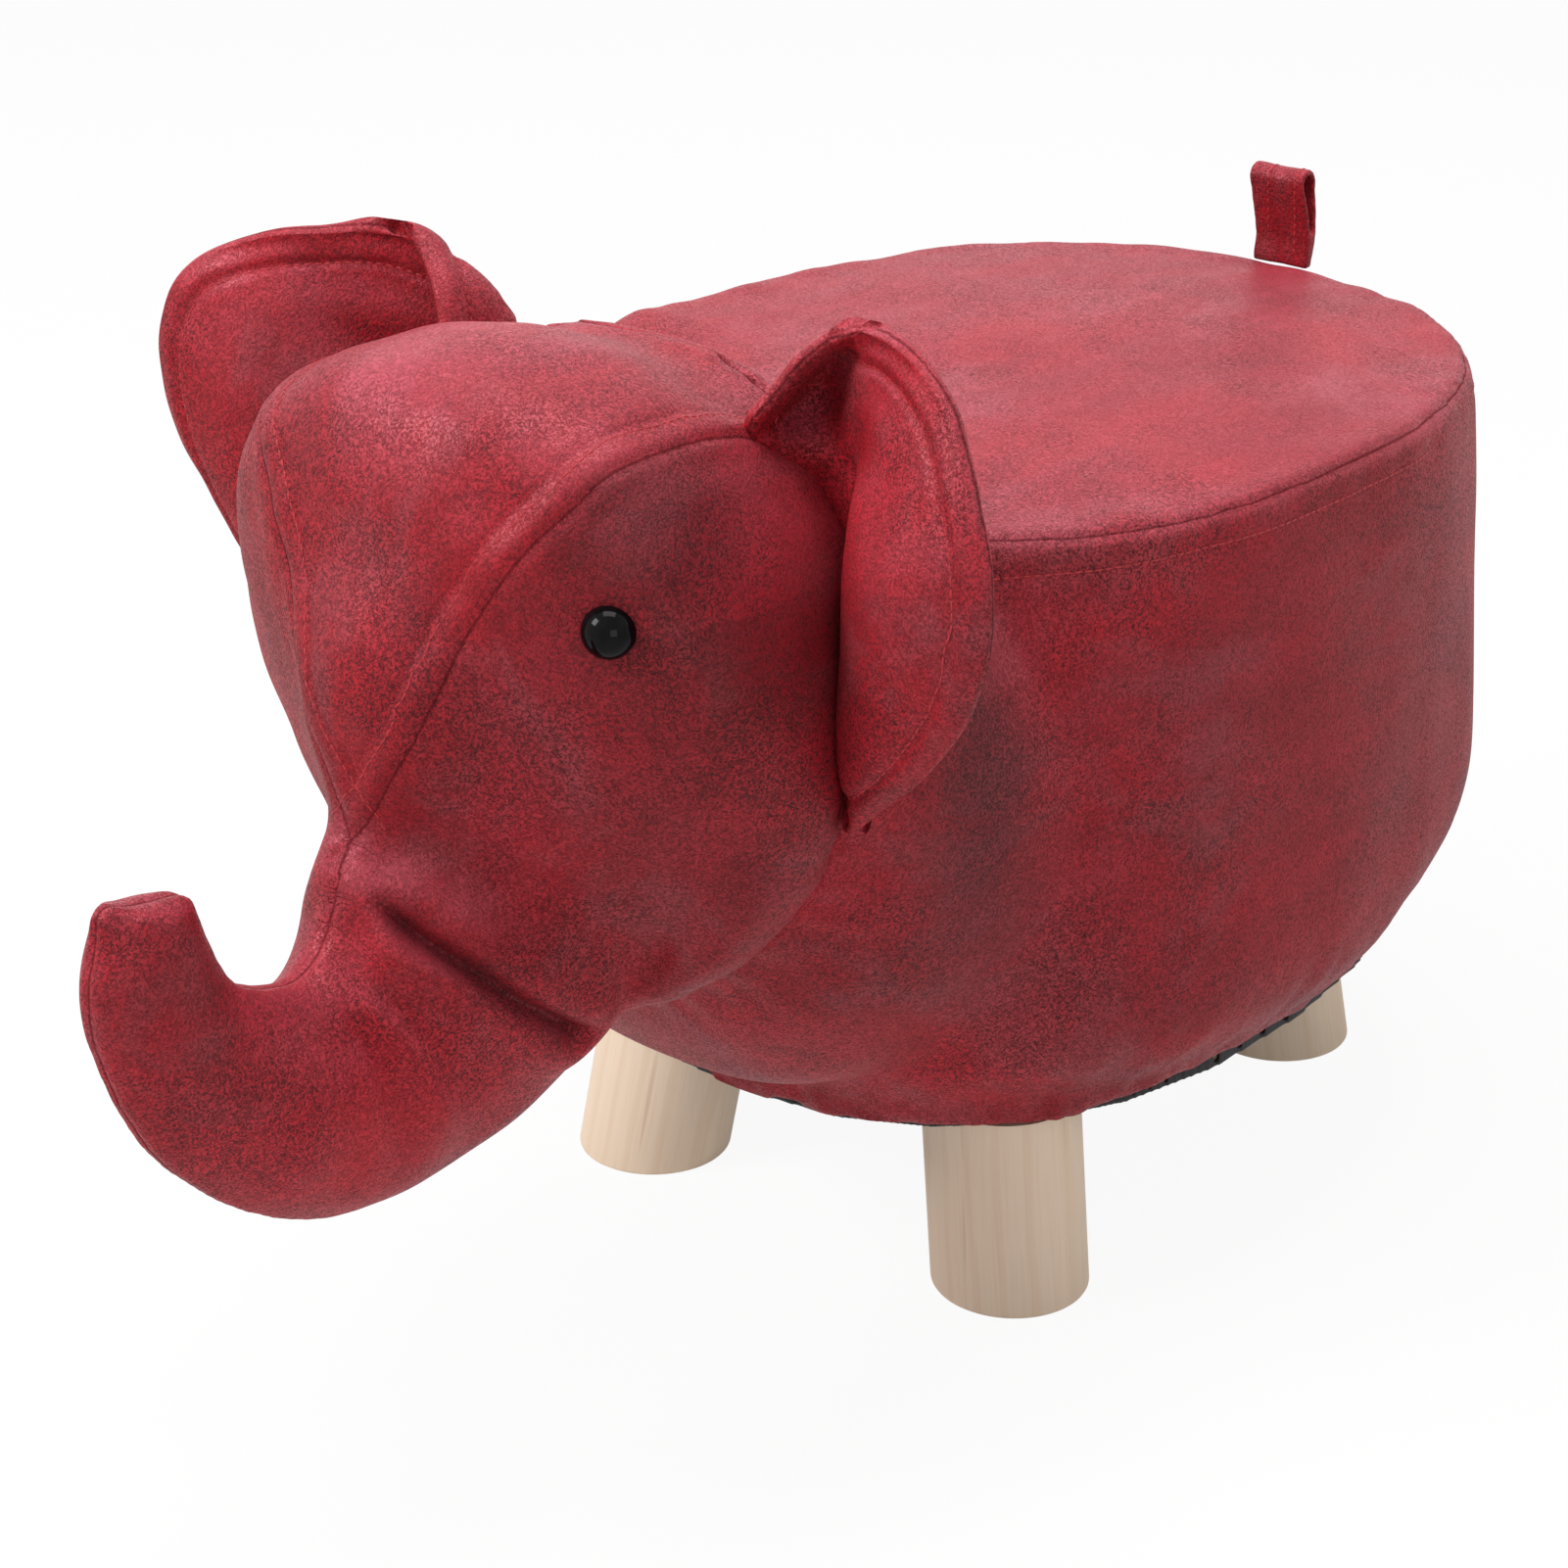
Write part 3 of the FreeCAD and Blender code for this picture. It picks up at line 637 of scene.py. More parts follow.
shoulder = bell(co[:, 1] + 0.045, 0.03) * fade(np.abs(co[:, 0]), 0.03, 0.06) * fade(co[:, 2], 0.09, 0.12)
behindSeam = fade(-aheadOfNeck(co), 0.004, 0.02)
relaxed(seatCover, shoulder * behindSeam * (1 - 0.8 * fade(co[:, 2], 0.2, 0.235)), 50)
relaxed(seatCover, 0.4 * behindSeam * fade(co[:, 2], 0.07, 0.08), 2)


def seatLine(tree, height):
    # round the body at one height, ending at the neck seam on both sides
    line = []
    for turn in np.linspace(-math.pi, math.pi, 900):
        out = Vector((math.sin(turn), math.cos(turn), 0))
        hit = shot(tree, Vector((0, 0.06, height)) + out * 0.5, -out)
        if hit and aheadOfNeck(np.array(hit)) < -0.001 and (hit.y > 0.02 or abs(hit.x) > 0.06):
            line.append(hit)
    return spaced(line, mm)


seamLine = seatLine(treeOf(seatCover), seatShape["seam"])
co = places(seatCover)
seamAway = np.abs(awayFrom(co, normalsOf(seatCover), seamLine))
atNeck = np.abs(aheadOfNeck(co))
held = np.maximum(bell(seamAway, 0.006), np.maximum(bell(atNeck, 0.008), 1 - fade(co[:, 2], 0.078, 0.1)))
put(seatCover, co - normalsOf(seatCover) * (seatLook["shrink"] * (1 - held))[:, None])
puffed(seatCover, held, seatLook["pressure"], seatLook["cap"])
applied(seatCover, "SUBSURF", levels=1, render_levels=1)
co, normal = places(seatCover), normalsOf(seatCover)
seamSide = awayFrom(co, normal, seamLine)
seamAway = np.abs(seamSide)
side = 1 - fade(np.abs(normal[:, 2]), 0.4, 0.8)
height = co[:, 2]
gather = wobble(co, 0.0085, 3, (1, 1, 0.12)) + 0.45 * wobble(co, 0.0048, 4, (1, 1, 0.12))
atHem = bell(height - 0.067, 0.013) + 0.3 * bell(height - 0.083, 0.022)
push = look["gather"] * gather * atHem * side
push += look["broad"] * wobble(co, 0.06, 5)
push += look["wave"] * wobble(co, 0.030, 6, (1, 1, 0.5)) * side
push = push * fade(height, 0.0595, 0.0655)
puckers = wobble(co, 0.013, 7, (1, 1, 0.25))
push += look["pucker"] * puckers * bell(seamAway - 0.005, 0.009)
push += look["plump"] * (1 - side) * bell(seamAway - 0.006, 0.006)
push -= look["groove"] * bell(seamAway, 0.0016)
atStitch = bell(np.abs(shape["seam"] - height - look["stitchDrop"]), 0.0013)
push -= look["stitchDent"] * atStitch * side * (co[:, 1] > -0.06)
push += look["neckCrease"] * neckPuckers(co, 8, 0.3) * fade(-aheadOfNeck(co), 0.0, 0.003)
co = co + normal * push[:, None]
lowCorner = fade(co[:, 1], 0.10, 0.2) * (1 - fade(height, 0.07, 0.125)) * fade(co[:, 0], -0.02, 0.08)
co[:, :2] -= look["lowCorner"] * lowCorner[:, None]
farShoulder = bell(gapTo(co[:, :2], look["shoulder"]), 0.032)
co[:, 2] += look["shoulderRise"] * farShoulder * fade(height, 0.19, 0.24)
co[:, 2] -= look["rearDrop"] * fade(co[:, 1], 0.10, 0.27) * fade(height, 0.236, 0.252)
co[:, 2] += look["topWave"] * wobble(co, 0.05, 10, (1, 1, 0)) * fade(height, 0.24, 0.252)
put(seatCover, co)
# a painted shade band down the side of the seat, under the ear
bandY, bandZ = look["paintedShadeBand"]
paintedShade = look["bandDepth"] * bell(np.hypot(co[:, 1] - bandY, 0.25 * (co[:, 2] - bandZ)), look["bandWidth"])
paintedShade = paintedShade * (co[:, 0] > 0.05) * bell(co[:, 2] - 0.19, 0.075)
keptSeamAndPaintedLight(seatCover, np.where(np.abs(aheadOfNeck(co)) < seamAway, aheadOfNeck(co), seamSide), paintedShade)
dressed(seatCover, "leather")
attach(seatCover, "stool")
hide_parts(*seatNodes)
threadLook = {"length": 0.0030, "radius": 0.00036, "pitch": 0.0030, "sunk": 0.0001}
seatTree = treeOf(seatCover)
stitchLine = seatLine(seatTree, seatShape["seam"] - seatLook["stitchDrop"])
seatStitches = stitched("seat_stitches", seatTree, stitchLine, threadLook)
dressed(seatStitches, "thread")
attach(seatStitches, "stool")
print("seat cover made")

# head: cheeks, forehead gusset and trunk halves
headLook = {
    "voxel": 0.003, "pressure": 4, "cap": 0.0022, "shrink": 0.001, "length": 0.106, "halfWidth": 0.092,
    "halfHeight": 0.096, "rise": 0.012, "trunkRadius": 0.05, "trunkFullness": 1.8, "stitchIn": 0.0098,
    "groove": 0.0008, "creaseDeep": 0.0062, "creaseWide": 0.0030, "creaseLip": 0.0030, "wrinkle": 0.0034,
    "broad": 0.0014, "wave": 0.0008, "middleGroove": 0.0009, "plump": 0.0009, "stitchDent": 0.0005,
    "pucker": 0.0012, "neckCrease": 0.0014, "rootFill": 0.0032, "root": (-0.0100, -0.1920, 0.2074),
    "throat": (0, -0.188, 0.196), "curl": (0, -0.222, 0.204),
    # smoke: the middle of a painted shade patch on the cheek, then its width and strength
    "smoke": (0.0750, -0.1490, 0.2999), "paintedShadeWide": 0.034, "paintedShadeDeep": 0.8,
    "nub": 0.0062, "nubPlace": (0, -0.2772, 0.2175),
}
headShares = (
    # forward, rise, width, height, lean
    (0, 0, 0.935, 0.943, 1), (0.15, -0.05, 0.995, 0.965, 0.76), (0.35, 0.55, 0.98, 0.995, 0.18),
    (0.547, 1.1, 0.905, 0.91, -0.97), (0.712, 0.95, 0.675, 0.705, -1), (0.854, 0.75, 0.39, 0.455, -0.53),
    (0.965, 0.65, 0.2, 0.27, -0.4), (1, 0.6, 0.08, 0.1, -0.35),
)
trunkShares = (
    # inner forward, inner rise, outer forward, outer rise, half width
    (1.67, -0.25, 0.29, -1.90, 0.96), (2.18, -0.44, 1.10, -2.48, 0.66), (2.31, -0.72, 2.10, -2.58, 0.49),
    (2.45, -0.93, 2.80, -2.37, 0.42), (2.66, -0.99, 3.42, -1.88, 0.34), (3.03, -0.82, 3.87, -1.21, 0.31),
    (3.22, -0.44, 4.02, -0.62, 0.29), (3.28, -0.21, 3.90, -0.10, 0.22),
)
headNodes = ("head_side_left", "head_side_right", "forehead_gusset", "trunk_side_left",
             "trunk_side_right", "head_stuffing", "trunk_stuffing")
look = headLook
headRings = []
for forward, rise, width, height, lean in curved(headShares, 70):
    middle = neckSeam["middle"] + np.array((0, -look["length"] * forward, look["rise"] * rise))
    headRings.append(oval(middle, xAxis, leanedUp(lean), look["halfWidth"] * width,
                          look["halfHeight"] * height, neckSeam["fullness"]))
trunkRings = []
for innerY, innerZ, outerY, outerZ, width in curved(trunkShares, 90):
    inner = neckSeam["middle"] + np.array((0, -innerY, innerZ)) * look["trunkRadius"]
    outer = neckSeam["middle"] + np.array((0, -outerY, outerZ)) * look["trunkRadius"]
    half = np.linalg.norm(inner - outer) / 2
    trunkRings.append(oval((inner + outer) / 2, xAxis, (inner - outer) / (2 * half),
                           look["trunkRadius"] * width, half, look["trunkFullness"], 100))
nub = placed(grown(bpy.ops.mesh.primitive_uv_sphere_add, segments=24, ring_count=16, radius=look["nub"],
                   location=look["nubPlace"]))
headCover = joined("head_cover", [tube("head_cover", headRings), tube("trunk", trunkRings), nub])
outerSkin(headCover, look["voxel"])
co = places(headCover)
relaxed(headCover, fade(aheadOfNeck(co), 0.002, 0.012), 3)
relaxed(headCover, bell(gapTo(co, look["throat"]), 0.022), 30)
gussetMarks = ((0, 206), (9.5, 221.5), (19.3, 237.8), (25.7, 253.9), (30.2, 266.8), (39.6, 283.3),
               (48, 295.4), (52.5, 300))  # across, height, from the front
gussetTop = ((56.3, -155), (58.2, -143), (59.2, -128), (58.8, -112), (57.5, -97), (56, -72))  # from above
creaseMarks = ((4, -195.8, 197), (19, -189.8, 185), (29, -179.8, 173), (35, -164.8, 157), (34, -143, 140))


def gussetLine(tree, side):
    # up the face from its point, then back over the head to the neck seam
    line = []
    for x, z in curved(gussetMarks, 130) * mm:
        line.append(shot(tree, (side * x, -0.218, z), (0, 1, 0)))
    for x, y in curved(gussetTop, 100) * mm:
        line.append(shot(tree, (side * x, y, 0.4), (0, 0, -1)))
    line = [hit for hit in line if hit and aheadOfNeck(np.array(hit)) > 0.001]
    return eased(spaced(line, mm), 20)


def middleLines(tree):
    # down the inner curve from the gusset's point, and round the tip along the outer curve to the chin
    curl = Vector(headLook["curl"])
    inner, outer = [], []
    for turn in np.linspace(0, math.radians(214), 260):
        hit = shot(tree, curl, (0, math.cos(turn), -math.sin(turn)))
        if hit and hit.z < 0.2068:
            inner.append(hit)
    for turn in np.linspace(math.radians(-40), math.radians(180), 360):
        out = Vector((0, -math.cos(turn), -math.sin(turn)))
        hit = shot(tree, curl + out * 0.4, -out)
        if hit and aheadOfNeck(np.array(hit)) > 0.001 and (hit - curl).length > 0.02:
            outer.append(hit)
    return spaced(inner, mm), spaced(outer, mm)


headTree = treeOf(headCover)
gussetLines = {side: gussetLine(headTree, side) for side in (1, -1)}
trunkInner, trunkOuter = middleLines(headTree)
creaseLines = []
for side in (1, -1):
    marks = curved(creaseMarks, 80) * np.array((side, 1, 1)) * mm
    creaseLines.append(spaced([headTree.find_nearest(Vector(mark))[0] for mark in marks], mm))
co, normal = places(headCover), normalsOf(headCover)
seamAway = np.abs(awayFrom(co, normal, gussetLines[1], gussetLines[-1], trunkInner, trunkOuter))
creaseAway = np.abs(awayFrom(co, normal, *creaseLines))
held = np.maximum(np.maximum(bell(seamAway, 0.005), bell(creaseAway, 0.006)), bell(aheadOfNeck(co), 0.007))
put(headCover, co - normal * (look["shrink"] * (1 - held))[:, None])
puffed(headCover, held, look["pressure"], look["cap"])
applied(headCover, "SUBSURF", levels=1, render_levels=1)
co, normal = places(headCover), normalsOf(headCover)
gussetSide = awayFrom(co, normal, gussetLines[1], gussetLines[-1][::-1])  # the forehead lies on the left
middleSide = awayFrom(co, normal, trunkInner, trunkOuter)
gussetAway, middleAway = np.abs(gussetSide), np.abs(middleSide)
creaseSide = awayFrom(co, normal, creaseLines[0], creaseLines[1][::-1])
creaseAway = np.abs(creaseSide)
inGusset = np.sign(gussetSide) == np.sign(gussetSide[np.argmax(co[:, 2] * (np.abs(co[:, 0]) < 0.01))])
offMiddle = fade(co[:, 0], 0.008, 0.018) + fade(-co[:, 0], 0.028, 0.040)
push = look["broad"] * wobble(co, 0.045, 11) + look["wave"] * wobble(co, 0.020, 12)
push -= look["groove"] * bell(gussetAway, 0.0018) + look["middleGroove"] * bell(middleAway, 0.0016)
push += inGusset * look["plump"] * bell(gussetAway - 0.005, 0.004)
push -= inGusset * look["stitchDent"] * bell(gussetAway - look["stitchIn"], 0.0012)
puckers = wobble(co, 0.014, 13, (1, 0.6, 1))
push += look["pucker"] * puckers * bell(gussetAway - 0.007, 0.010) * offMiddle
push -= look["creaseDeep"] * bell(creaseAway, look["creaseWide"]) * offMiddle
push += look["creaseLip"] * bell(creaseAway - 0.009, 0.007) * (co[:, 2] > 0.12) * offMiddle
_, fromCurlY, fromCurlZ = (co - np.array(look["curl"])).T
curlAway, curlAngle = np.hypot(fromCurlY, fromCurlZ), np.arctan2(fromCurlZ, fromCurlY)
rays = np.stack([curlAngle * 0.055, np.abs(co[:, 0]) * 0.25, 0 * curlAngle], 1)
rootSide = bell(curlAngle + 1.15, 0.55) * fade(curlAway, 0.030, 0.045) * fade(-curlAway, -0.11, -0.07)
push += look["wrinkle"] * wobble(rays, 0.0075, 14) * rootSide * offMiddle
push += look["rootFill"] * bell(gapTo(co, look["root"]), 0.014)
push += look["neckCrease"] * neckPuckers(co, 15, 0.3) * fade(aheadOfNeck(co), 0.0, 0.003)
eyeLook = {"radius": 0.0072, "height": 0.0066, "sunk": 0.0005, "spots": {
    "left": (0.0625, -0.16075, 0.2705), "right": (-0.0770, -0.1375, 0.2800)}}
for spot in eyeLook["spots"].values():
    push -= 0.0010 * bell(gapTo(co, spot), 0.011)
put(headCover, co + normal * push[:, None])
neckAway = aheadOfNeck(co)
seamSide = np.where(gussetAway < middleAway, gussetSide, middleSide)
# painted shade: a patch on the cheek below the ear, a line along the trunk crease, and the cheek's outer
# side darkened
paintedShade = bell(gapTo(co, look["smoke"]), look["paintedShadeWide"]) * (1 - inGusset)
paintedShade += bell(creaseAway, 0.0035) * offMiddle
paintedShade *= look["paintedShadeDeep"]
paintedShade += 0.3 * bell(co[:, 0] - 0.075, 0.03) * (co[:, 2] < 0.27)
keptSeamAndPaintedLight(headCover, np.where(np.abs(neckAway) < np.abs(seamSide), neckAway, seamSide), paintedShade)
dressed(headCover, "leather")
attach(headCover, "stool")
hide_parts(*headNodes)
headTree = treeOf(headCover)
for label, side in (("left", 1), ("right", -1)):
    row = beside(headTree, gussetLines[side], -side * look["stitchIn"])
    row = row[np.abs(row[:, 0]) > 0.0012]
    stitches = stitched("gusset_stitches_" + label, headTree, row, threadLook)
    dressed(stitches, "thread")
    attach(stitches, "stool")
print("head made")

# eyes: glossy domes on a low collar
for label, spot in eyeLook["spots"].items():
    spot, out, _, _ = headTree.find_nearest(Vector(spot))
    eye = grown(bpy.ops.mesh.primitive_uv_sphere_add, segments=64, ring_count=48, radius=eyeLook["radius"])
    eye.name = eye.data.name = "eye_dome_" + label
    edited(eye, everything,
           (bpy.ops.transform.resize, {"value": (1, 1, eyeLook["height"] / eyeLook["radius"])}),
           (bpy.ops.mesh.bisect, {"plane_co": (0, 0, -0.0004), "plane_no": (0, 0, 1), "clear_inner": True,
                                  "use_fill": True}),
           (bpy.ops.mesh.inset, {"thickness": 0.0006}),
           (bpy.ops.transform.translate, {"value": (0, 0, -0.0012)}))
    eye.location = spot - out * eyeLook["sunk"]
    eye.rotation_euler = out.to_track_quat("Z", "Y").to_euler()
    placed(eye)
    bpy.ops.object.shade_smooth_by_angle(angle=math.radians(50))
    dressed(eye, "eye")
    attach(eye, "stool")
    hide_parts("eye_" + label)
print("eyes made")

# ears: two panels each, sewn round the rim and topstitched, their top folded forward to the gusset
earLook = {
    "root": (0.086, -0.09075, 0.196), "top": (0.060, -0.07375, 0.300), "width": 83.5, "height": 134,
    "forward": math.radians(23), "thick": 0.0046, "stitchIn": 0.0092,
}
earNet = (
    # by rows from the lobe up: inner edge, valley, fold and middle, each across, height and forward
    ((0.02, 0.012, 2), (0.04, 0.010, 2), (0.06, 0.010, 2.5), (0.085, 0.010, 2)),
    ((0.00, 0.06, 1), (0.09, 0.055, 1), (0.15, 0.052, 5), (0.20, 0.053, 4)),
    ((0.00, 0.13, 0), (0.15, 0.135, -1), (0.185, 0.145, 8), (0.32, 0.14, 9)),
    ((0.00, 0.24, 0), (0.20, 0.24, -2), (0.235, 0.25, 9), (0.47, 0.24, 11)),
    ((0.00, 0.37, -1), (0.27, 0.38, -3), (0.305, 0.385, 9), (0.60, 0.38, 12)),
    ((-0.02, 0.51, -2), (0.32, 0.52, -4), (0.365, 0.53, 9), (0.66, 0.53, 11)),
    ((-0.04, 0.62, -2), (0.33, 0.635, -5), (0.38, 0.645, 6), (0.64, 0.66, 7)),
    ((-0.02, 0.72, 4), (0.16, 0.74, -5), (0.30, 0.75, -2), (0.58, 0.765, 3)),
    ((0.077, 0.804, 20), (-0.02, 0.83, 4), (0.08, 0.845, -5), (0.44, 0.86, -1)),
    ((0.14, 0.86, 17), (0.00, 0.885, 4), (0.08, 0.905, -4), (0.38, 0.92, -3)),
    ((0.22, 0.925, 11), (0.12, 0.945, 1), (0.20, 0.96, -3), (0.37, 0.965, -3)),
    ((0.30, 0.975, 4), (0.31, 0.985, 1), (0.33, 0.99, 0), (0.36, 0.992, 0)),
)
farNet = (
    # the upper rows of the right ear, whose fold leans inwards
    ((0.05, 0.80, 17), (-0.07, 0.815, 6), (-0.06, 0.845, -3), (0.40, 0.865, -3)),
    ((0.09, 0.86, 14), (-0.04, 0.88, 5), (-0.01, 0.91, -3), (0.32, 0.925, -3)),
    ((0.16, 0.915, 9), (0.06, 0.935, 3), (0.12, 0.955, -2), (0.29, 0.965, -3)),
    ((0.24, 0.95, 3), (0.25, 0.96, 1), (0.28, 0.968, 0), (0.32, 0.972, 0)),
)
earRims = {
    # across and height
    "left": ((0.10, 0.012), (0.253, 0.06), (0.499, 0.13), (0.755, 0.24), (0.908, 0.37), (0.967, 0.52),
             (0.936, 0.66), (0.878, 0.77), (0.799, 0.86), (0.669, 0.925), (0.523, 0.97), (0.40, 0.992)),
    "right": ((0.12, 0.012), (0.30, 0.06), (0.50, 0.13), (0.704, 0.24), (0.914, 0.37), (1.051, 0.52),
              (1.08, 0.66), (1.005, 0.77), (0.82, 0.86), (0.63, 0.915), (0.485, 0.948), (0.36, 0.968)),
}
look = earLook


def earSheet(label, side):
    # the middle surface of an ear, rows of points an even step apart
    flip = np.array((side, 1, 1))
    root = np.array(look["root"]) * flip
    up = np.array(look["top"]) * flip - root
    up = up / np.linalg.norm(up)
    out = np.array((side * math.cos(look["forward"]), -math.sin(look["forward"]), 0))
    out = out - up * (out @ up)
    out = out / np.linalg.norm(out)
    front = np.cross(out, up) * side
    rows = earNet if side > 0 else earNet[:8] + farNet
    rows = [row + (rim + (0,),) for row, rim in zip(rows, earRims[label])]
    shares = curved(rows, 150)
    net = (shares[..., :1] * look["width"] * out + shares[..., 1:2] * look["height"] * up
           + shares[..., 2:] * front) * mm + root
    return root, out, front, [curved(row, 80) for row in net]


def ringStops(width):
    # distances across a row: dense on the two rounded edges
    radius = min(look["thick"] / 2, width / 2.02)
    turn = np.linspace(0, math.pi / 2, 7)
    edge, rise = radius * (1 - np.cos(turn)), radius * np.sin(turn)
    middle = np.linspace(radius, width - radius, 50)[1:-1]
    return np.r_[edge, middle, width - edge[::-1]], np.r_[rise, 0 * middle + radius, rise[::-1]]


for label, side in (("left", 1), ("right", -1)):
    root, out, front, sheet = earSheet(label, side)
    stops, rises = [], []
    for row in sheet:
        run = np.r_[0, np.cumsum(np.linalg.norm(np.diff(row, axis=0), axis=1))]
        at, rise = ringStops(run[-1])
        stops.append(np.stack([np.interp(at, run, row[:, k]) for k in range(3)], 1))
        rises.append(rise)
    skin = np.array(stops)
    across, along = np.gradient(skin, axis=1), np.gradient(skin, axis=0)
    square = np.cross(across, along)
    square /= np.maximum(np.linalg.norm(square, axis=2, keepdims=True), 1e-12)
    square *= np.sign((square[60] @ front).mean())
    atPinch = int(len(skin) * 8 / (len(earNet) - 1))
    rimLine = spaced(np.concatenate([skin[:, -1], skin[:atPinch:-1, 0]]), mm)
    flat = skin.reshape(-1, 3)
    rimAway = np.abs(awayFrom(flat, flat * 0, rimLine)).reshape(skin.shape[:2])
    rise = np.array(rises)
    plump = 0.0008 * bell(rimAway - 0.0055, 0.0028) + 0.0006 * fade(rimAway, 0.012, 0.03)
    plump -= 0.0010 * bell(rimAway - look["stitchIn"], 0.0014)
    rise = rise + plump * fade(rimAway, 0.001, 0.003)
    ripple = (0.0009 * wobble(flat, 0.03, 22 + side) + 0.0006 * wobble(flat, 0.012, 24 + side)
              * bell(rimAway.ravel() - 0.004, 0.009)).reshape(skin.shape[:2])
    bent = -0.0022 * (1 - fade(rimAway, 0.0, 0.012))
    skin = skin + square * (ripple + bent)[..., None]
    faces = {1: skin + square * rise[..., None], -1: skin - square * rise[..., None]}
    rings = np.concatenate([faces[1], faces[-1][:, -2:0:-1]], 1)
    ear = tube("ear_" + label, rings)
    co, normal = places(ear), normalsOf(ear)
    rimLine = spaced(np.concatenate([skin[:, -1], skin[:atPinch:-1, 0]]), mm)
    keptSeamAndPaintedLight(ear, awayFrom(co, normal, rimLine))
    only(ear)
    bpy.ops.object.shade_smooth()
    dressed(ear, "leather")
    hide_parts("ear_%s_front" % label, "ear_%s_back" % label)
    tree = treeOf(ear)
    rows = []
    for face in (1, -1):
        outer, inner = [], []
        for number, (row, gaps) in enumerate(zip(faces[face], rimAway)):
            far = np.nonzero(gaps > look["stitchIn"])[0]
            if len(far):
                outer.append(row[far[-1]])
                if number > atPinch:
                    inner.append(row[far[0]])
        rows.append(stitched("ear_row", tree, eased(spaced(outer + inner[::-1], mm), 8), threadLook))
    stitches = joined("ear_stitches_" + label, rows)
    dressed(stitches, "thread")
    for piece in (ear, stitches):
        tuple(root + out * 0.001)
        tuple(root + out * 0.02)
        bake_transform(piece)
print("ears made")

# tail: a folded strap, sewn into the seat seam
tailLook = {"voxel": 0.0006, "stitchAt": 0.0052, "foot": 0.0035, "shift": 0.0025, "uneven": 0.0004}
tail = cloned("tail_strap", ["tail_loop"])
applied(tail, "REMESH", mode="VOXEL", voxel_size=tailLook["voxel"], use_smooth_shade=True)
relaxed(tail, 1, 4)
low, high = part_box("tail_loop")
co = places(tail)
sunk = 1 - fade(co[:, 2], low.z, low.z + 0.006)
co = co + np.outer(sunk * tailLook["foot"], (0, -0.4, -1))
co[:, 0] -= tailLook["shift"] * fade(co[:, 2], low.z + 0.006, high.z)
put(tail, co + normalsOf(tail) * (tailLook["uneven"] * wobble(co, 0.008, 31))[:, None])
keptSeamAndPaintedLight(tail, np.full(len(co), 0.02))
dressed(tail, "leather")
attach(tail, "tail")
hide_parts("tail_loop")
tree = treeOf(tail)
rows = []
for x in (-tailLook["stitchAt"], tailLook["stitchAt"]):
    line = []
    for turn in np.linspace(-0.5, 1.5, 240) * math.pi:
        middle = Vector((x, (low.y + high.y) / 2, (low.z + high.z) / 2))
        out = Vector((0, math.cos(turn), math.sin(turn)))
        hit = shot(tree, middle + out * 0.05, -out)
        if hit and hit.z > low.z:
            line.append(hit)
    rows.append(stitched("tail_row", tree, spaced(line, mm), threadLook))
tailStitches = joined("tail_stitches", rows)
dressed(tailStitches, "thread")
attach(tailStitches, "tail")
print("tail made")

# legs: turned pine with an eased foot
legLook = {"radius": 0.0246, "easing": 0.0014}
for number, label in enumerate(("front_left", "front_right", "rear_left", "rear_right")):
    low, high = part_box("leg_" + label)
    lean = Vector(((high.x - low.x) - 2 * legLook["radius"], (high.y - low.y) - 2 * legLook["radius"], 0))
    sideways = -1 if label.endswith("left") else 1
    lengthways = 1 if label.startswith("front") else -1
    foot = Vector((low.x if sideways > 0 else high.x, low.y if lengthways > 0 else high.y, 0))
    foot += Vector((sideways, lengthways, 0)) * legLook["radius"]
    axis = Vector((sideways * lean.x, lengthways * lean.y, high.z)).normalized()
    leg = grown(bpy.ops.mesh.primitive_cylinder_add, vertices=96, radius=legLook["radius"], depth=0.2)
    leg.name = leg.data.name = "pine_leg_" + label
    leg.rotation_euler = axis.to_track_quat("Z", "Y").to_euler()
    leg.location = foot
    placed(leg)
    for height, clear in ((0, "clear_inner"), (high.z, "clear_outer")):
        edited(leg, everything,
               (bpy.ops.mesh.bisect, {"plane_co": (0, 0, height), "plane_no": (0, 0, 1), clear: True,
                                      "use_fill": True}))
    picked(leg, lambda place: place.z < 0.0001, "EDGE")
    edited(leg, (bpy.ops.mesh.bevel, {"offset": legLook["easing"], "segments": 4, "affect": "EDGES"}))
    co = places(leg)
    turn = axis.rotation_difference(Vector((0, 0, 1))).to_matrix()
    own = (co - np.array(foot)) @ np.array(turn).T
    own += np.array((0.034 + 0.004 * number, 0.026 - 0.007 * number, 0.3 * number))
    attribute = leg.data.attributes.new("grain", "FLOAT_VECTOR", "POINT")
    attribute.data.foreach_set("vector", own.astype(np.float32).ravel())
    only(leg)
    bpy.ops.object.shade_smooth_by_angle(angle=math.radians(30))
    dressed(leg, "pine")
    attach(leg, "stool")
    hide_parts("leg_" + label)
print("legs made")

# dust cover: black non-woven, stapled under the board
dustLook = {"voxel": 0.0009, "rimOut": 0.0011, "uneven": 0.0003}
dustCover = cloned("dust_cloth", ["dust_cover"])
applied(dustCover, "REMESH", mode="VOXEL", voxel_size=dustLook["voxel"], use_smooth_shade=True)
applied(dustCover, "DECIMATE", ratio=0.25)
co = places(dustCover)
low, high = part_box("dust_cover")
middle = np.array(((low.x + high.x) / 2, (low.y + high.y) / 2, low.z))
out = (co - middle) * np.array((1, 1, 0))
share = np.hypot(out[:, 0] / high.x, out[:, 1] / (high.y - low.y) * 2)
atRim = fade(share, 0.85, 0.93)
out /= np.maximum(np.linalg.norm(out, axis=1, keepdims=True), 1e-9)
co = co + out * (dustLook["rimOut"] * atRim)[:, None]
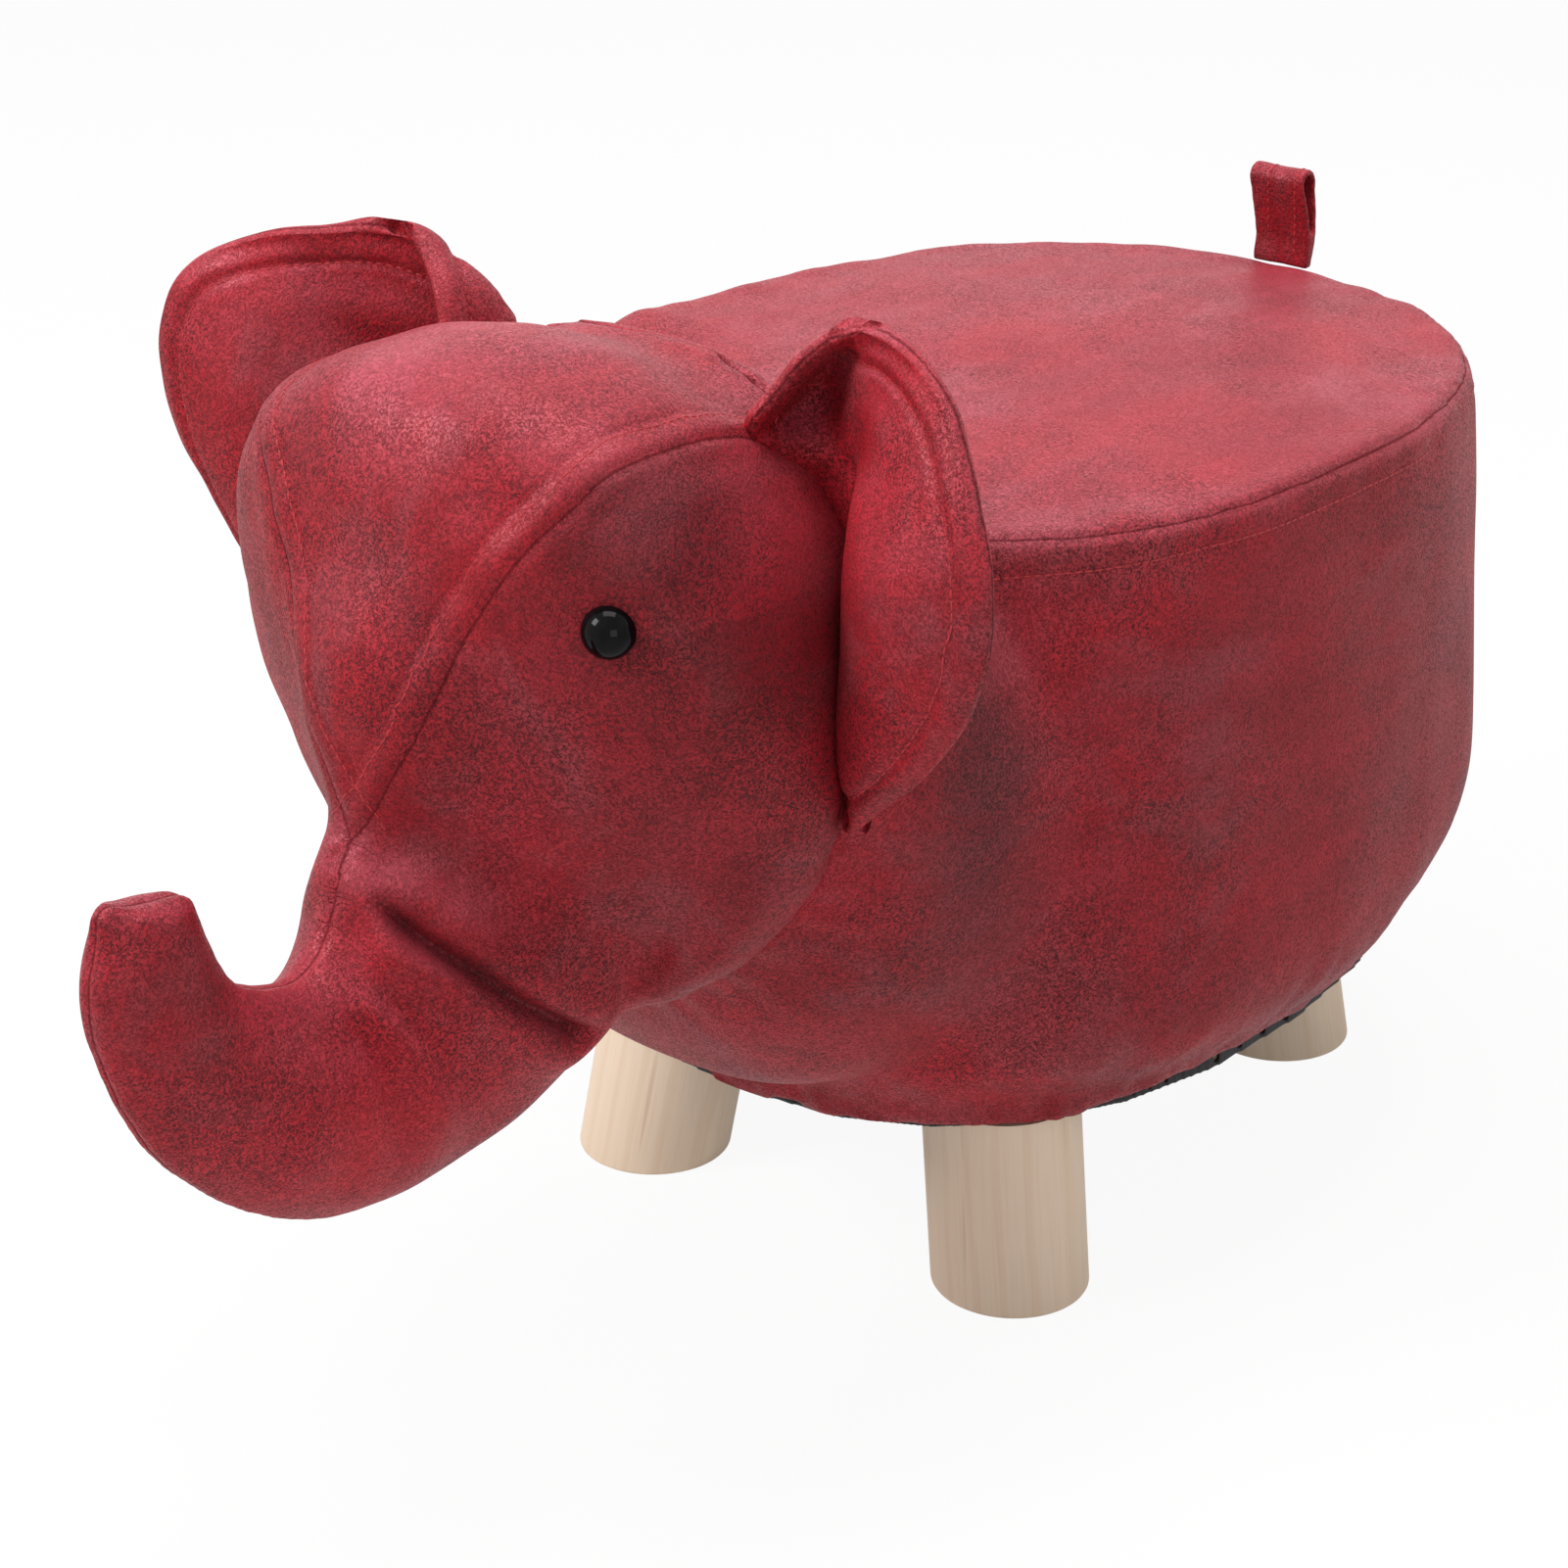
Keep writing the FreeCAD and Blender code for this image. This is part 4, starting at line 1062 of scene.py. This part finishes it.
co[:, 2] += dustLook["uneven"] * (wobble(co, 0.03, 41) + 1) * (1 - atRim)
put(dustCover, co)
dressed(dustCover, "nonwoven")
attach(dustCover, "stool")
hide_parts("dust_cover")
rim = high.z - low.z
flat = (high.x - low.x + 2 * rim, high.y - low.y + 2 * rim)
flat[0] * flat[1] * 0.8

# what stays inside
inside = {"base_board": "plywood", "seat_board": "plywood", "frame_wall": "plywood",
          "frame_posts": "plywood", "frame_screws": "steel", "hanger_bolts": "steel", "t_nuts": "steel",
          "dust_cover_staples": "staple", "eye_washers": "washer"}
for node, finish in inside.items():
    dressed(frame["nodes"][node], finish)
print("inner pieces finished")

# white floor and soft studio light
lamps = {"topLamp": (33, 1.4, (-0.1, 0.15, 2.2)), "keyLamp": (42, 0.9, (-1.1, -1.7, 1.7)),
         "sideLamp": (9, 1.2, (1.7, 1.9, 0.9)), "fillLamp": (7, 1.0, (1.9, -1.4, 0.6))}
skyShare = 0.28


def cameraSide(shade):
    # 1 where the camera, a reflection or a clear piece looks
    ray = shade.node("LightPath")
    return (ray + ray.other("Is Glossy Ray") + ray.other("Is Transmission Ray")).maths("MINIMUM", 1.0)


def floorFinish(shade, place):
    paler = place.noisy(60.0, 2.0).bounded(0.3, 0.7)
    paper = paler.blend(colour(0.86, 0.86, 0.86), colour(0.88, 0.88, 0.88))
    matt = shade.node("BsdfDiffuse", {}, {"Color": paper})
    glow = shade.node("Emission", {}, {"Color": colour(1, 1, 1), "Strength": 1.0})
    return shade.node("MixShader", {}, {0: cameraSide(shade) * 0.93, 1: matt, 2: glow})


floor = grown(bpy.ops.mesh.primitive_plane_add, size=24, location=(0, 0, 0))
floor.name = "studio_floor"
edited(floor, everything, (bpy.ops.mesh.subdivide, {"number_cuts": 6}))
finishes["paper"] = material("paperFloor", floorFinish)
dressed(floor, "paper")
for name, (power, size, place) in lamps.items():
    data = bpy.data.lights.new(name, "AREA")
    data.energy, data.size = power, size
    light = bpy.data.objects.new(name, data)
    scene.collection.objects.link(light)
    light.location = place
    light.rotation_euler = (Vector((0, 0.02, 0.16)) - light.location).to_track_quat("-Z", "Y").to_euler()
world = bpy.data.worlds.new("studio")
scene.world = world
world.use_nodes = True
world.node_tree.nodes.clear()
shade = Shade(world.node_tree)
strength = cameraSide(shade) * (1 - skyShare) + skyShare
back = shade.node("Background", {}, {"Color": colour(1, 1, 1), "Strength": strength})
shade.node("OutputWorld", {}, {"Surface": back})
scene.view_settings.view_transform = "Standard"
print("studio set")
